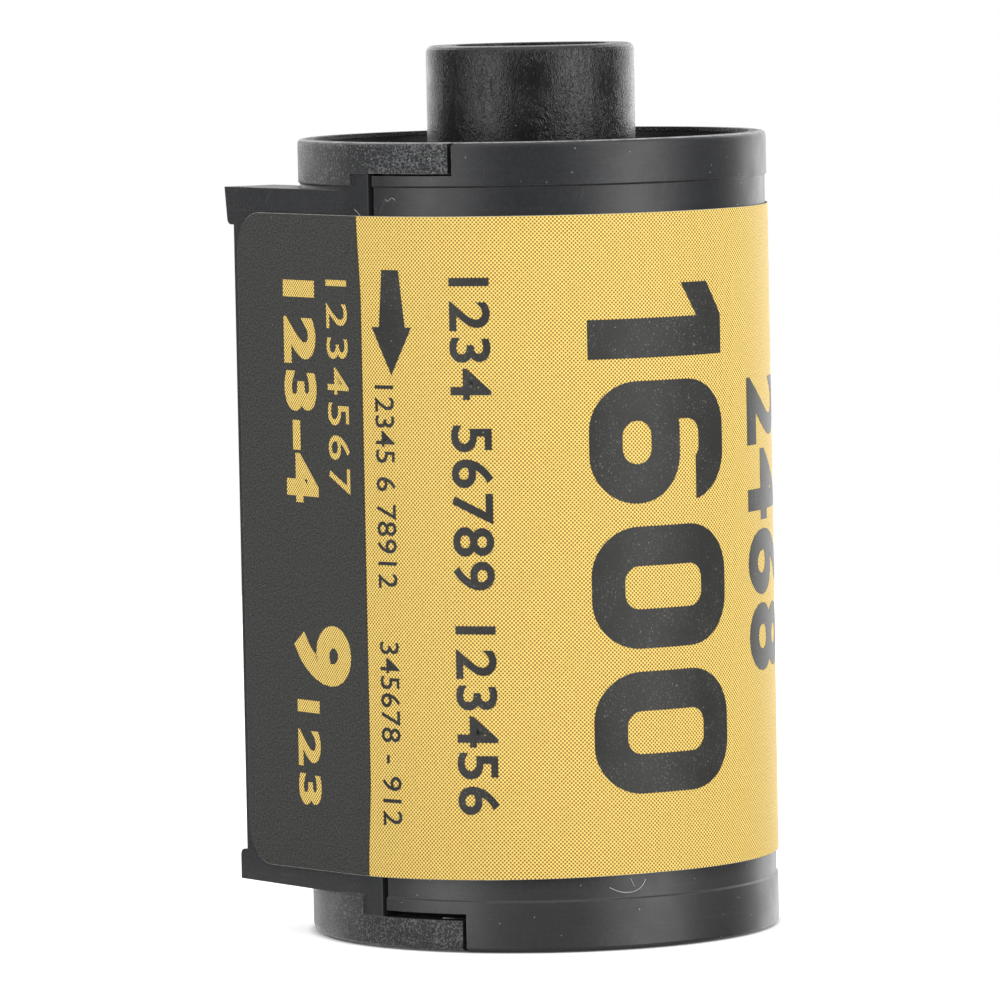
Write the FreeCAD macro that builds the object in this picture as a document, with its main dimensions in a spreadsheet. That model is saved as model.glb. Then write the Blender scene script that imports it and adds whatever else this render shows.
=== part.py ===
# 35 mm film cartridge: two moulded half shells with a film mouth, the spool with its short roll
# of film, two velvet light traps and the wrapped paper label.
# Frame: Z runs along the spool axis towards the long spool end, and the origin is on that axis in
# the plane of the lower rims. The film leaves towards -X. The outer lip of the mouth is tangent to
# the barrel on the -Y side. Angles round the barrel count from -Y towards +X. Sizes are millimetres.
import FreeCAD, Part

import math
import os

import Sketcher

# Driving sizes: alias, value, meaning
SIZES = [
    ("rim_radius", 12.7, "outer radius of the rims"),
    ("label_recess", 0.1, "depth of the band that takes the label"),
    ("wall", 1.0, "wall of the barrel under the label"),
    ("rim_wall", 0.9, "thickness of the rim collars"),
    ("low_band", 2.7, "height of the lower rim band"),
    ("top_band", 2.3, "height of the upper rim band"),
    ("end_recess", 1.7, "depth of the end walls below the rims"),
    ("end_wall", 1.0, "thickness of the end walls"),
    ("rim_round", 0.25, "rounding of the rim edges"),
    ("foot_round", 0.45, "rounding of the gate shell's lower outer edge"),
    ("seam_offset", 2.54, "distance of the parting plane from the axis"),
    ("seam_gap", 0.24, "open line between the shells at the seam"),
    ("seam_round", 0.3, "rounding of the gate shell's seam edge"),
    ("arm_reach", 4.47, "how far the rim arms pass the seam"),
    ("top_arm", 1.64, "height of the upper arms"),
    ("foot_arm", 1.7, "height of the lower arms"),
    ("arm_gap", 0.14, "gap under the upper arms and inside all of them"),
    ("foot_gap", 0.36, "gap over the lower arms"),
    ("end_gap", 0.2, "gap at the arm ends"),
    ("tongue_length", 0.8, "reach of the seam tongue into the gate shell"),
    ("tongue_wall", 0.45, "thickness of the seam tongue"),
    ("tongue_play", 0.05, "clearance round the seam tongue"),
    ("lip_inset", 2.33, "lip edges short of the rims' tangent, along the film path"),
    ("ear_reach", 0.83, "how far the upper ear stands past the lip edges"),
    ("foot_ear_reach", 0.63, "how far the lower ear does"),
    ("ear_slant", 0.2, "how far the upper ear's tip leans back"),
    ("lip_wall", 1.0, "thickness of each lip"),
    ("slot_width", 1.15, "opening between the bare lips"),
    ("mouth_low", 2.66, "lower end of the mouth above the rims' plane"),
    ("mouth_top", 2.57, "upper end of the mouth below the upper rims"),
    ("mouth_cheek", 1.2, "solid cheek at each end of the slot"),
    ("top_ear", 2.05, "height of the upper ear"),
    ("foot_ear", 1.65, "height of the lower ear"),
    ("ear_round", 0.35, "rounding of the ears' inner corners"),
    ("top_step", 1.0, "start of the flush strip beside the seam, past the tangent line, at the top"),
    ("foot_step", 0.8, "the same at the foot"),
    ("pile_height", 0.5, "velvet thickness"),
    ("glue_line", 0.02, "glue under the velvet, the tape and the label"),
    ("outer_pile_width", 4.4, "width of the velvet on the outer lip"),
    ("inner_pile_width", 3.4, "width of the velvet on the inner lip"),
    ("pile_setback", 0.35, "velvet behind the lip edges"),
    ("pile_bevel", 0.25, "bevel of the velvet's entry edge"),
    ("pile_margin", 0.1, "velvet short of each cheek"),
    ("spool_radius", 5.65, "outer radius of both spool ends"),
    ("journal_step", 0.25, "how far the journals stand over the spool ends"),
    ("bearing_play", 0.08, "radial clearance in the bearings"),
    ("journal_over", 0.1, "journal length past the end wall's outer face"),
    ("spool_rise", 4.9, "long spool end above the upper rims"),
    ("spool_sink", 0.35, "short spool end above the rims' plane"),
    ("spool_round", 0.35, "rounding of the long end's rim"),
    ("core_radius", 6.05, "radius of the winding core"),
    ("flange_play", 0.3, "flange edge to chamber wall"),
    ("flange_wall", 0.95, "thickness of the spool flanges"),
    ("end_play", 0.2, "flange to end wall, each end"),
    ("socket_radius", 4.4, "mouth of the drive sockets"),
    ("socket_depth", 3.0, "depth of the sockets' mouth"),
    ("fork_radius", 4.2, "inner part of the drive sockets"),
    ("fork_depth", 3.6, "depth of that inner part"),
    ("drive_bar", 1.6, "thickness of the bar that the rewind fork turns"),
    ("film_slot", 0.9, "width of the slot that takes the film's inner end"),
    ("core_slot_margin", 1.05, "solid core between the short end's socket and that slot"),
    ("film_width", 35.0, "width of the film"),
    ("film_play", 0.2, "film edge to each flange"),
    ("film_thickness", 0.14, "film base with emulsion"),
    ("film_length", 600.0, "film for eight frames with its ends"),
    ("roll_play", 0.1, "core to the first turn"),
    ("roll_end_angle", 300.0, "where the film's outer end lies, in degrees"),
    ("tape_thickness", 0.05, "anchor tape"),
    ("tape_margin", 5.0, "anchor tape short of each film edge"),
    ("tape_angle", 80.0, "anchor tape round the core, in degrees"),
    ("label_inset", 3.9, "label edges inside the rims' planes"),
    ("label_thickness", 0.12, "label stock"),
    ("label_margin", 0.5, "label edge behind the lip edge"),
    ("label_corner", 2.1, "rounded corners at the label's mouth end"),
    ("label_angle", 285.0, "far end of the label round the barrel, in degrees"),
    ("panel_angle", 5.2, "far edge of the dark panel round the barrel, in degrees"),
    ("ink", 0.02, "thickness of the printed fields"),
    ("figure_middle", 85.8, "middle of the large figures round the barrel, in degrees"),
    ("figure_height", 8.35, "height of the large figures"),
    ("figure_rise", 0.3, "middle of the row of large figures above the middle of the body"),
    ("figure_width", 6.5, "width of a round figure"),
    ("figure_one", 3.9, "width of the figure one"),
    ("figure_space", 1.23, "space between figures"),
    ("figure_stroke", 2.1, "stroke of the large figures"),
    ("figure_round", 2.6, "outer corners of the round figures"),
]

# Reach of a cut that runs right out of a piece, and overlap of one that only has to clear a face
FAR = 60.0
OVER = 1.0
# Short cones that make up each turned rounding
ROUND_STEPS = 3
# Drawing of the figures, as shares of the stroke or of the height
THIN_STROKE = 0.85
FLAG_DROP = 0.5
FLAG_STROKE = 0.85
SIX_SHOULDER = 0.76
SIX_BOWL = 0.63
doc = FreeCAD.newDocument("film_cartridge")
sheet = doc.addObject("Spreadsheet::Sheet", "Sizes")


class Size:
    """A number together with the sheet expression that gives it."""

    def __init__(self, value, text):
        self.value = float(value)
        self.text = text

    def __add__(self, other):
        other = as_size(other)
        return Size(self.value + other.value, f"({self.text} + {other.text})")

    def __sub__(self, other):
        other = as_size(other)
        return Size(self.value - other.value, f"({self.text} - {other.text})")

    def __mul__(self, other):
        other = as_size(other)
        return Size(self.value * other.value, f"({self.text} * {other.text})")

    def __truediv__(self, other):
        other = as_size(other)
        return Size(self.value / other.value, f"({self.text} / {other.text})")

    def __neg__(self):
        return Size(-self.value, f"(0 - {self.text})")


def as_size(number):
    return number if isinstance(number, Size) else Size(number, repr(float(number)))


def root(size):
    return Size(math.sqrt(size.value), f"sqrt({size.text})")


def sine(size):
    return Size(math.sin(math.radians(size.value)), f"sin({size.text})")


def cosine(size):
    return Size(math.cos(math.radians(size.value)), f"cos({size.text})")


def fill_sheet():
    """Write the driving sizes and return them by alias."""
    named = {}
    for row, (alias, value, meaning) in enumerate(SIZES, start=1):
        sheet.set(f"A{row}", meaning)
        sheet.set(f"B{row}", str(value))
        sheet.setAlias(f"B{row}", alias)
        named[alias] = Size(value, f"Sizes.{alias}")
    doc.recompute()
    return named


mm = fill_sheet()
ZERO = as_size(0.0)

# Radii and heights that several pieces share
floor = mm["end_recess"] + mm["end_wall"]
film_floor = floor + mm["end_play"] + mm["flange_wall"] + mm["film_play"]
height = mm["film_width"] + film_floor * 2
band_radius = mm["rim_radius"] - mm["label_recess"]
chamber_radius = band_radius - mm["wall"]
collar_radius = mm["rim_radius"] - mm["rim_wall"]
journal_radius = mm["spool_radius"] + mm["journal_step"]
bearing_radius = journal_radius + mm["bearing_play"]
ceiling = height - floor
seam_gate = mm["seam_offset"] - mm["seam_gap"] / 2
seam_back = mm["seam_offset"] + mm["seam_gap"] / 2
arm_end = mm["seam_offset"] + mm["arm_reach"]
tongue_radius = chamber_radius + mm["tongue_wall"]
mouth_depth = mm["lip_wall"] * 2 + mm["slot_width"]
lip_length = mm["rim_radius"] - mm["lip_inset"]
ear_length = lip_length + mm["ear_reach"]
lip_outer = -band_radius
slot_outer = lip_outer + mm["lip_wall"]
slot_inner = slot_outer + mm["slot_width"]
lip_rear = lip_outer + mouth_depth
mouth_ceiling = height - mm["mouth_top"]
slot_floor = mm["mouth_low"] + mm["mouth_cheek"]
slot_ceiling = mouth_ceiling - mm["mouth_cheek"]
label_floor = mm["label_inset"]
label_ceiling = height - mm["label_inset"]
label_height = label_ceiling - label_floor
label_inner = band_radius + mm["glue_line"]
label_outer = label_inner + mm["label_thickness"]
row_length = mm["figure_one"] + (mm["figure_width"] + mm["figure_space"]) * 3
row_start = (height + row_length) / 2 + mm["figure_rise"]


def bind(item, name, size):
    item.setExpression(name, size.text)


def new_body(label):
    body = doc.addObject("PartDesign::Body", label)
    body.Label = label
    return body


def new_sketch(body, role, name, lift=None):
    """A sketch on one of the body's own origin planes, raised along the plane's normal."""
    sketch = body.newObject("Sketcher::SketchObject", name)
    plane = next(item for item in body.Origin.OriginFeatures if item.Role == role)
    sketch.AttachmentSupport = (plane, [""])
    sketch.MapMode = "FlatFace"
    if lift is not None:
        bind(sketch, "AttachmentOffset.Base.z", lift)
    return sketch


def place_point(sketch, geometry, end, axis, size):
    """Tie one coordinate of a point to the sheet."""
    if size.text == ZERO.text:
        line = -2 if axis == "X" else -1
        sketch.addConstraint(Sketcher.Constraint("PointOnObject", geometry, end, line))
        return
    constraint = Sketcher.Constraint(f"Distance{axis}", -1, 1, geometry, end, size.value)
    index = sketch.addConstraint(constraint)
    sketch.setExpression(f"Constraints[{index}]", size.text)


def draw(sketch, corners, arcs=None):
    """Draw a closed outline through corners, with arcs {corner index: (radius, centre, leftward)}.

    An arc replaces the straight run that starts at its corner.
    """
    arcs = arcs or {}
    count = len(corners)
    points = [FreeCAD.Vector(x.value, y.value, 0) for x, y in corners]
    runs = []
    for index in range(count):
        start, stop = points[index], points[(index + 1) % count]
        if index not in arcs:
            geometry = sketch.addGeometry(Part.LineSegment(start, stop), False)
            runs.append((geometry, 1, 2))
            continue
        radius, centre, leftward = arcs[index]
        middle = FreeCAD.Vector(centre[0].value, centre[1].value, 0)
        circle = Part.Circle(middle, FreeCAD.Vector(0, 0, 1), radius.value)
        first, last = (start, stop) if leftward else (stop, start)
        angles = [math.atan2(p.y - middle.y, p.x - middle.x) for p in (first, last)]
        geometry = sketch.addGeometry(Part.ArcOfCircle(circle, angles[0], angles[1]), False)
        runs.append((geometry, 1, 2) if leftward else (geometry, 2, 1))
        index_of = sketch.addConstraint(Sketcher.Constraint("Radius", geometry, radius.value))
        sketch.setExpression(f"Constraints[{index_of}]", radius.text)
    for index in range(count):
        geometry, _, stop = runs[index]
        following, start, _ = runs[(index + 1) % count]
        sketch.addConstraint(Sketcher.Constraint("Coincident", geometry, stop, following, start))
    for index, (x, y) in enumerate(corners):
        geometry, start, _ = runs[index]
        place_point(sketch, geometry, start, "X", x)
        place_point(sketch, geometry, start, "Y", y)


def box_corners(x0, y0, x1, y1):
    return [(x0, y0), (x1, y0), (x1, y1), (x0, y1)]


def rounded(corner, radius, rising):
    """The outer corner of a turned profile as short cones that follow a quarter round.

    The points run up the profile: inwards from the side at a top corner, outwards from the foot at
    a bottom one, which is the rising case.
    """
    x, z = corner
    points = []
    for step in range(ROUND_STEPS + 1):
        angle = 90.0 * step / ROUND_STEPS
        across, along = 1 - math.sin(math.radians(angle)), 1 - math.cos(math.radians(angle))
        if rising:
            points.append((x - radius * across, z + radius * along))
        else:
            points.append((x - radius * along, z - radius * across))
    return points


def revolve(body, sketch, name, cut=False):
    """Turn a sketch on the XZ plane right round Z."""
    kind = "PartDesign::Groove" if cut else "PartDesign::Revolution"
    feature = body.newObject(kind, name)
    feature.Profile = sketch
    feature.ReferenceAxis = (sketch, ["V_Axis"])
    feature.Angle = 360.0
    return finish(feature, sketch, cut)


def pad(body, sketch, name, length, reverse=False):
    feature = body.newObject("PartDesign::Pad", name)
    feature.Profile = sketch
    bind(feature, "Length", length)
    feature.Reversed = reverse
    return finish(feature, sketch, False)


def pocket(body, sketch, name, length=None, reverse=False):
    """Cut a sketch along its normal's far side, or right through both ways without a length."""
    feature = body.newObject("PartDesign::Pocket", name)
    feature.Profile = sketch
    if length is None:
        feature.Midplane = True
        feature.Length = 2 * FAR
    else:
        bind(feature, "Length", length)
        feature.Reversed = reverse
    return finish(feature, sketch, True)


def finish(feature, sketch, cut):
    """Recompute a feature and see that it changed the volume the right way."""
    sketch.Visibility = False
    before = feature.BaseFeature.Shape.Volume if feature.BaseFeature else 0.0
    doc.recompute()
    change = feature.Shape.Volume - before
    if abs(change) < 1e-4 or (change > 0) == cut:
        raise RuntimeError(f"{feature.Name} changed the volume by {change:.4f}")
    return feature


def round_edges(body, base, name, radius, wanted):
    """Round each edge that the test picks out."""
    picked = [f"Edge{n}" for n, edge in enumerate(base.Shape.Edges, start=1) if wanted(edge)]
    if not picked:
        raise RuntimeError(f"{name} found no edge")
    feature = body.newObject("PartDesign::Fillet", name)
    feature.Base = (base, picked)
    bind(feature, "Radius", radius)
    doc.recompute()
    return feature


def close_to(number, size):
    return abs(number - size.value) < 1e-4


def is_upright(edge, x, radius):
    """A straight edge along Z at this X, at this distance from the axis."""
    if len(edge.Vertexes) < 2:
        return False
    first, last = edge.Vertexes[0].Point, edge.Vertexes[-1].Point
    steady = math.hypot(first.x - last.x, first.y - last.y) < 1e-4
    return steady and close_to(first.x, x) and close_to(math.hypot(first.x, first.y), radius)


# Blank that both half shells are cut from: collars, end walls with bearings, barrel and chamber
def shell_blank(body, foot_round):
    sketch = new_sketch(body, "XZ_Plane", "wall_profile")
    low, top = mm["low_band"], height - mm["top_band"]
    draw(sketch, [
        (bearing_radius, mm["end_recess"]),
        (collar_radius, mm["end_recess"]),
        (collar_radius, ZERO),
        *rounded((mm["rim_radius"], ZERO), foot_round, rising=True),
        (mm["rim_radius"], low),
        (band_radius, low + mm["label_recess"]),
        (band_radius, top - mm["label_recess"]),
        (mm["rim_radius"], top),
        *rounded((mm["rim_radius"], height), mm["rim_round"], rising=False),
        (collar_radius, height),
        (collar_radius, height - mm["end_recess"]),
        (bearing_radius, height - mm["end_recess"]),
    ])
    return revolve(body, sketch, "barrel")


def hollow_chamber(body):
    sketch = new_sketch(body, "XZ_Plane", "chamber_profile")
    draw(sketch, box_corners(ZERO, floor, chamber_radius, ceiling))
    return revolve(body, sketch, "chamber", cut=True)


# Gate shell: the larger half, with the film mouth and the arms that lap over the other half
def gate_shell():
    body = new_body("gate_shell")
    shell_blank(body, mm["foot_round"])

    block = new_sketch(body, "XY_Plane", "mouth_plan", lift=mm["mouth_low"])
    draw(block, box_corners(-lip_length, lip_outer, ZERO, lip_rear))
    pad(body, block, "mouth_block", mouth_ceiling - mm["mouth_low"])

    foot_tip = -(lip_length + mm["foot_ear_reach"])
    for end, level in (("foot", mm["mouth_low"]), ("top", slot_ceiling)):
        cheek = new_sketch(body, "XY_Plane", f"{end}_cheek_plan", lift=level)
        draw(cheek, box_corners(foot_tip, lip_outer, -lip_length + OVER, lip_rear))
        pad(body, cheek, f"{end}_cheek", mm["mouth_cheek"])

    # The ears are the ends of the outer lip: the lower one is square, the upper one leans back
    corner = mm["ear_round"]
    inboard = -lip_length + OVER
    low, top = mm["mouth_low"], mouth_ceiling
    foot_edge = low + mm["foot_ear"]
    foot = new_sketch(body, "XZ_Plane", "foot_ear_outline", lift=band_radius)
    draw(
        foot,
        [(inboard, low), (inboard, foot_edge), (foot_tip + corner, foot_edge),
         (foot_tip, foot_edge - corner), (foot_tip, low)],
        {2: (corner, (foot_tip + corner, foot_edge - corner), True)},
    )
    pad(body, foot, "foot_ear", mm["lip_wall"], reverse=True)
    top_tip = -ear_length
    lean_tip = top_tip + mm["ear_slant"]
    top_edge = top - mm["top_ear"]
    upper = new_sketch(body, "XZ_Plane", "top_ear_outline", lift=band_radius)
    draw(
        upper,
        [(inboard, top), (top_tip, top), (lean_tip, top_edge + corner),
         (lean_tip + corner, top_edge), (inboard, top_edge)],
        {2: (corner, (lean_tip + corner, top_edge + corner), True)},
    )
    pad(body, upper, "top_ear", mm["lip_wall"], reverse=True)

    hollow_chamber(body)

    slot = new_sketch(body, "YZ_Plane", "slot_section")
    draw(slot, box_corners(slot_outer, slot_floor, slot_inner, slot_ceiling))
    pocket(body, slot, "film_slot", ear_length + OVER)

    # Parting: the barrel ends at the seam, and only the collars run on as arms
    inside = new_sketch(body, "XY_Plane", "arm_bore")
    chord = root(collar_radius * collar_radius - seam_gate * seam_gate)
    draw(
        inside,
        [(seam_gate, -chord), (seam_gate, chord)],
        {1: (collar_radius, (ZERO, ZERO), False)},
    )
    pocket(body, inside, "between_arms")
    waist = new_sketch(body, "XZ_Plane", "seam_cut")
    draw(waist, box_corners(seam_gate, mm["foot_arm"], as_size(FAR), height - mm["top_arm"]))
    pocket(body, waist, "parting")
    beyond = new_sketch(body, "XZ_Plane", "arm_cut")
    draw(beyond, box_corners(arm_end, as_size(-OVER), as_size(FAR), height + OVER))
    pocket(body, beyond, "arm_ends")

    # Beside the seam the barrel's face runs on flush, past the rim steps, to the arms
    steps = (("top", mm["top_step"], height - mm["top_arm"] - mm["top_band"], mm["top_band"]),
             ("foot", mm["foot_step"], mm["foot_arm"], mm["low_band"]))
    for name, start, level, tall in steps:
        strip = new_sketch(body, "XY_Plane", f"{name}_strip_plan", lift=level)
        start_y = -root(band_radius * band_radius - start * start)
        seam_y = -root(band_radius * band_radius - seam_gate * seam_gate)
        far = -as_size(FAR)
        draw(
            strip,
            [(start, far), (seam_gate, far), (seam_gate, seam_y), (start, start_y)],
            {2: (band_radius, (ZERO, ZERO), False)},
        )
        pocket(body, strip, f"{name}_strip", tall, reverse=True)

    # The bearings open towards the seam, so that the spool drops in sideways
    drop = new_sketch(body, "XY_Plane", "bearing_mouth")
    draw(drop, box_corners(ZERO, -bearing_radius, mm["seam_offset"], bearing_radius))
    pocket(body, drop, "bearing_opening")

    # Rebate along the seam for the other shell's tongue
    rebate = new_sketch(body, "XY_Plane", "rebate_plan", lift=floor)
    inner_x = mm["seam_offset"] - mm["tongue_length"] - mm["tongue_play"]
    reach = tongue_radius + mm["tongue_play"]
    inner_y = root(reach * reach - inner_x * inner_x)
    seam_y = root(reach * reach - mm["seam_offset"] * mm["seam_offset"])
    for side in (1, -1):
        sketch = rebate if side == 1 else new_sketch(body, "XY_Plane", "rebate_plan_far", lift=floor)
        edge = [(inner_x, inner_y * side), (mm["seam_offset"], seam_y * side)]
        core = [(mm["seam_offset"], (seam_y - OVER) * side), (inner_x, (seam_y - OVER) * side)]
        draw(sketch, edge + core, {0: (reach, (ZERO, ZERO), side < 0)})
        pocket(body, sketch, f"rebate_{'far' if side < 0 else 'near'}", ceiling - floor, reverse=True)

    round_edges(body, body.Tip, "seam_edge", mm["seam_round"],
                lambda e: is_upright(e, seam_gate, band_radius))
    return body


# Back shell: the smooth half, notched for the arms, with a tongue along each seam
def back_shell():
    body = new_body("back_shell")
    shell_blank(body, mm["rim_round"])
    hollow_chamber(body)

    tongue_x = mm["seam_offset"] - mm["tongue_length"]
    beyond = new_sketch(body, "XZ_Plane", "tongue_end")
    draw(beyond, box_corners(as_size(-FAR), as_size(-OVER), tongue_x, height + OVER))
    pocket(body, beyond, "tongue_ends")

    # Outside the tongue the barrel stops at the seam
    outside = new_sketch(body, "XY_Plane", "barrel_edge")
    half = root(tongue_radius * tongue_radius - seam_back * seam_back)
    far = as_size(FAR)
    draw(
        outside,
        [(seam_back, -half), (seam_back, -far), (-far, -far), (-far, far), (seam_back, far),
         (seam_back, half)],
        {5: (tongue_radius, (ZERO, ZERO), True)},
    )
    pocket(body, outside, "barrel_edges")
    ends = (("foot", ZERO, floor + mm["tongue_play"]),
            ("top", ceiling - mm["tongue_play"], floor + mm["tongue_play"]))
    for name, level, depth in ends:
        sketch = new_sketch(body, "XY_Plane", f"{name}_wall_edge", lift=level)
        draw(sketch, box_corners(-far, -far, seam_back, far))
        pocket(body, sketch, f"{name}_wall_end", depth, reverse=True)

    # Notches in the collars for the other shell's arms
    reach = arm_end + mm["end_gap"]
    foot_notch = mm["foot_arm"] + mm["foot_gap"]
    top_notch = mm["top_arm"] + mm["arm_gap"]
    notches = (("foot", ZERO, foot_notch), ("top", height - top_notch, top_notch))
    for name, level, depth in notches:
        for side in (1, -1):
            sketch = new_sketch(body, "XY_Plane", f"{name}_notch_{'far' if side > 0 else 'near'}", lift=level)
            inner = collar_radius - mm["arm_gap"]
            inner_y = root(inner * inner - reach * reach)
            seam_y = root(inner * inner - seam_back * seam_back)
            draw(
                sketch,
                [(reach, inner_y * side), (reach, far * side), (seam_back - OVER, far * side),
                 (seam_back - OVER, seam_y * side), (seam_back, seam_y * side)],
                {4: (inner, (ZERO, ZERO), side < 0)},
            )
            pocket(body, sketch, f"{name}_arm_notch_{'far' if side > 0 else 'near'}", depth, reverse=True)
    return body


# Spool: winding core between two flanges, a journal in each end wall and a drive socket in each end
def spool():
    body = new_body("spool")
    flange_radius = chamber_radius - mm["flange_play"]
    low, top = mm["spool_sink"], height + mm["spool_rise"]
    flange_low = floor + mm["end_play"]
    flange_top = ceiling - mm["end_play"]
    journal_low = mm["end_recess"] - mm["journal_over"]
    journal_top = height - journal_low
    sketch = new_sketch(body, "XZ_Plane", "spool_profile")
    draw(sketch, [
        (ZERO, low),
        (mm["spool_radius"], low),
        (mm["spool_radius"], journal_low),
        (journal_radius, journal_low),
        (journal_radius, flange_low),
        (flange_radius, flange_low),
        (flange_radius, flange_low + mm["flange_wall"]),
        (mm["core_radius"], flange_low + mm["flange_wall"]),
        (mm["core_radius"], flange_top - mm["flange_wall"]),
        (flange_radius, flange_top - mm["flange_wall"]),
        (flange_radius, flange_top),
        (journal_radius, flange_top),
        (journal_radius, journal_top),
        (mm["spool_radius"], journal_top),
        *rounded((mm["spool_radius"], top), mm["spool_round"], rising=False),
        (ZERO, top),
    ])
    revolve(body, sketch, "turned_form")

    # Each socket is a round mouth, then a deeper bore that a bar crosses
    depth = mm["socket_depth"]
    sockets = (("short", low, 1), ("long", top, -1))
    for name, level, inward in sockets:
        sketch = new_sketch(body, "XZ_Plane", f"{name}_socket_profile")
        stop = level + depth * inward
        draw(sketch, box_corners(ZERO, level, mm["socket_radius"], stop))
        revolve(body, sketch, f"{name}_socket", cut=True)
        for side in (1, -1):
            half = mm["drive_bar"] / 2
            reach = root(mm["fork_radius"] * mm["fork_radius"] - half * half)
            label = f"{name}_fork_{'far' if side > 0 else 'near'}"
            plan = new_sketch(body, "XY_Plane", f"{label}_plan", lift=stop)
            draw(
                plan,
                [(-reach, half * side), (reach, half * side)],
                {1: (mm["fork_radius"], (ZERO, ZERO), side > 0)},
            )
            pocket(body, plan, label, mm["fork_depth"], reverse=inward > 0)

    # Slot right through the core for the film's inner end
    through = new_sketch(body, "XZ_Plane", "core_slot_outline")
    half = mm["film_slot"] / 2
    slot_low = low + mm["socket_depth"] + mm["fork_depth"] + mm["core_slot_margin"]
    draw(through, box_corners(-half, slot_low, half, height - slot_low))
    pocket(body, through, "core_slot")
    return body


def cylinder(name, radius, level, tall, angle=None, start=None):
    """A cylinder or a sector of one, whose sector starts at an angle counted from -Y."""
    item = doc.addObject("Part::Cylinder", name)
    bind(item, "Radius", radius)
    bind(item, "Height", tall)
    bind(item, "Placement.Base.z", level)
    if angle is not None:
        bind(item, "Angle", angle)
        item.Placement.Rotation = FreeCAD.Rotation(FreeCAD.Vector(0, 0, 1), start.value - 90)
        bind(item, "Placement.Rotation.Angle", start - 90)
    return item


def block(name, x0, y0, z0, x1, y1, z1):
    item = doc.addObject("Part::Box", name)
    for prop, size in (("Length", x1 - x0), ("Width", y1 - y0), ("Height", z1 - z0)):
        bind(item, prop, size)
    for axis, size in (("x", x0), ("y", y0), ("z", z0)):
        bind(item, f"Placement.Base.{axis}", size)
    return item


def combine(kind, label, first, second):
    """Cut, Common or Fuse of two objects."""
    item = doc.addObject(f"Part::{kind}", label)
    item.Label = label
    item.Base = first
    item.Tool = second
    doc.recompute()
    return item


def tube(name, inner, outer, level, tall, angle=None, start=None):
    solid = cylinder(f"{name}_outer", outer, level, tall, angle, start)
    hole = cylinder(f"{name}_inner", inner, level - OVER, tall + 2 * OVER)
    return combine("Cut", name, solid, hole)


# Velvet light traps: one on each lip, nearly face to face across the slot
def light_trap(name, lip_face, inward, width):
    """A velvet strip on a lip's inner face, with its entry edge bevelled."""
    front = -(lip_length - mm["pile_setback"])
    start = lip_face + mm["glue_line"] * inward
    stop = start + mm["pile_height"] * inward
    low, high = (start, stop) if inward > 0 else (stop, start)
    ends = slot_floor + mm["pile_margin"], slot_ceiling - mm["pile_margin"]
    strip = block(f"{name}_strip", front, low, ends[0], front + width, high, ends[1])
    doc.recompute()
    pile_face = stop.value
    bevelled = doc.addObject("Part::Chamfer", name)
    bevelled.Base = strip
    bevel = mm["pile_bevel"].value
    bevelled.Edges = [
        (number, bevel, bevel)
        for number, edge in enumerate(strip.Shape.Edges, start=1)
        if all(abs(v.Point.y - pile_face) < 1e-6 and close_to(v.Point.x, front) for v in edge.Vertexes)
    ]
    bevelled.Label = name
    doc.recompute()
    return bevelled


# Film: the turns as one annulus whose outer turn ends in a step
def film_roll():
    inner = mm["core_radius"] + mm["roll_play"]
    outer = root(inner * inner + mm["film_length"] * mm["film_thickness"] / math.pi)
    start = mm["roll_end_angle"]
    half_turn = as_size(180.0)
    wide = cylinder("last_half_turn", outer, film_floor, mm["film_width"], half_turn, start)
    narrow = cylinder(
        "turn_before", outer - mm["film_thickness"] / 2, film_floor, mm["film_width"], half_turn, start + 180
    )
    shift = mm["film_thickness"] / 2
    bind(narrow, "Placement.Base.x", -(shift * sine(start)))
    bind(narrow, "Placement.Base.y", shift * cosine(start))
    turns = combine("Fuse", "film_turns", wide, narrow)
    hole = cylinder("roll_eye", inner, film_floor - OVER, mm["film_width"] + 2 * OVER)
    return combine("Cut", "film_roll", turns, hole)


def anchor_tape():
    inner = mm["core_radius"] + mm["glue_line"]
    level = film_floor + mm["tape_margin"]
    width = mm["film_width"] - mm["tape_margin"] * 2
    start = mm["roll_end_angle"] - mm["tape_angle"]
    outer = inner + mm["tape_thickness"]
    return tube("film_anchor_tape", inner, outer, level, width, mm["tape_angle"], start)


# Label: paper from the outer lip's edge round the barrel, and the fields printed on it
def label_front():
    """The label's outline on the outer lip, seen from -Y, with rounded corners at the mouth."""
    body = doc.addObject("PartDesign::Body", "label_front")
    sketch = new_sketch(body, "XZ_Plane", "label_outline")
    left = -(lip_length - mm["label_margin"])
    low, top = label_floor, label_ceiling
    corner = mm["label_corner"]
    draw(
        sketch,
        [(left + corner, low), (ZERO, low), (ZERO, top), (left + corner, top), (left, top - corner),
         (left, low + corner)],
        {3: (corner, (left + corner, top - corner), True), 5: (corner, (left + corner, low + corner), True)},
    )
    pad(body, sketch, "label_front_pad", mm["rim_radius"] * 2)
    return body


def wrap(name, inner, outer, angle, front):
    """A sheet that lies on the outer lip and goes round the barrel to an angle."""
    slab = block(f"{name}_on_lip", -lip_length, -outer, ZERO, ZERO, -inner, height)
    flat = combine("Common", f"{name}_flat", slab, front)
    curved = tube(f"{name}_on_barrel", inner, outer, label_floor, label_height, angle, ZERO)
    return combine("Fuse", name, flat, curved)


def figure_body(name, outline, arcs):
    """An outline padded outward through the label where the figures stand."""
    body = doc.addObject("PartDesign::Body", name)
    sketch = new_sketch(body, "YZ_Plane", f"{name}_outline")
    draw(sketch, outline, arcs)
    pad(body, sketch, f"{name}_pad", mm["rim_radius"] * 2)
    body.Placement.Rotation = FreeCAD.Rotation(FreeCAD.Vector(0, 0, 1), mm["figure_middle"].value - 90)
    bind(body, "Placement.Rotation.Angle", mm["figure_middle"] - 90)
    return body


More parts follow.
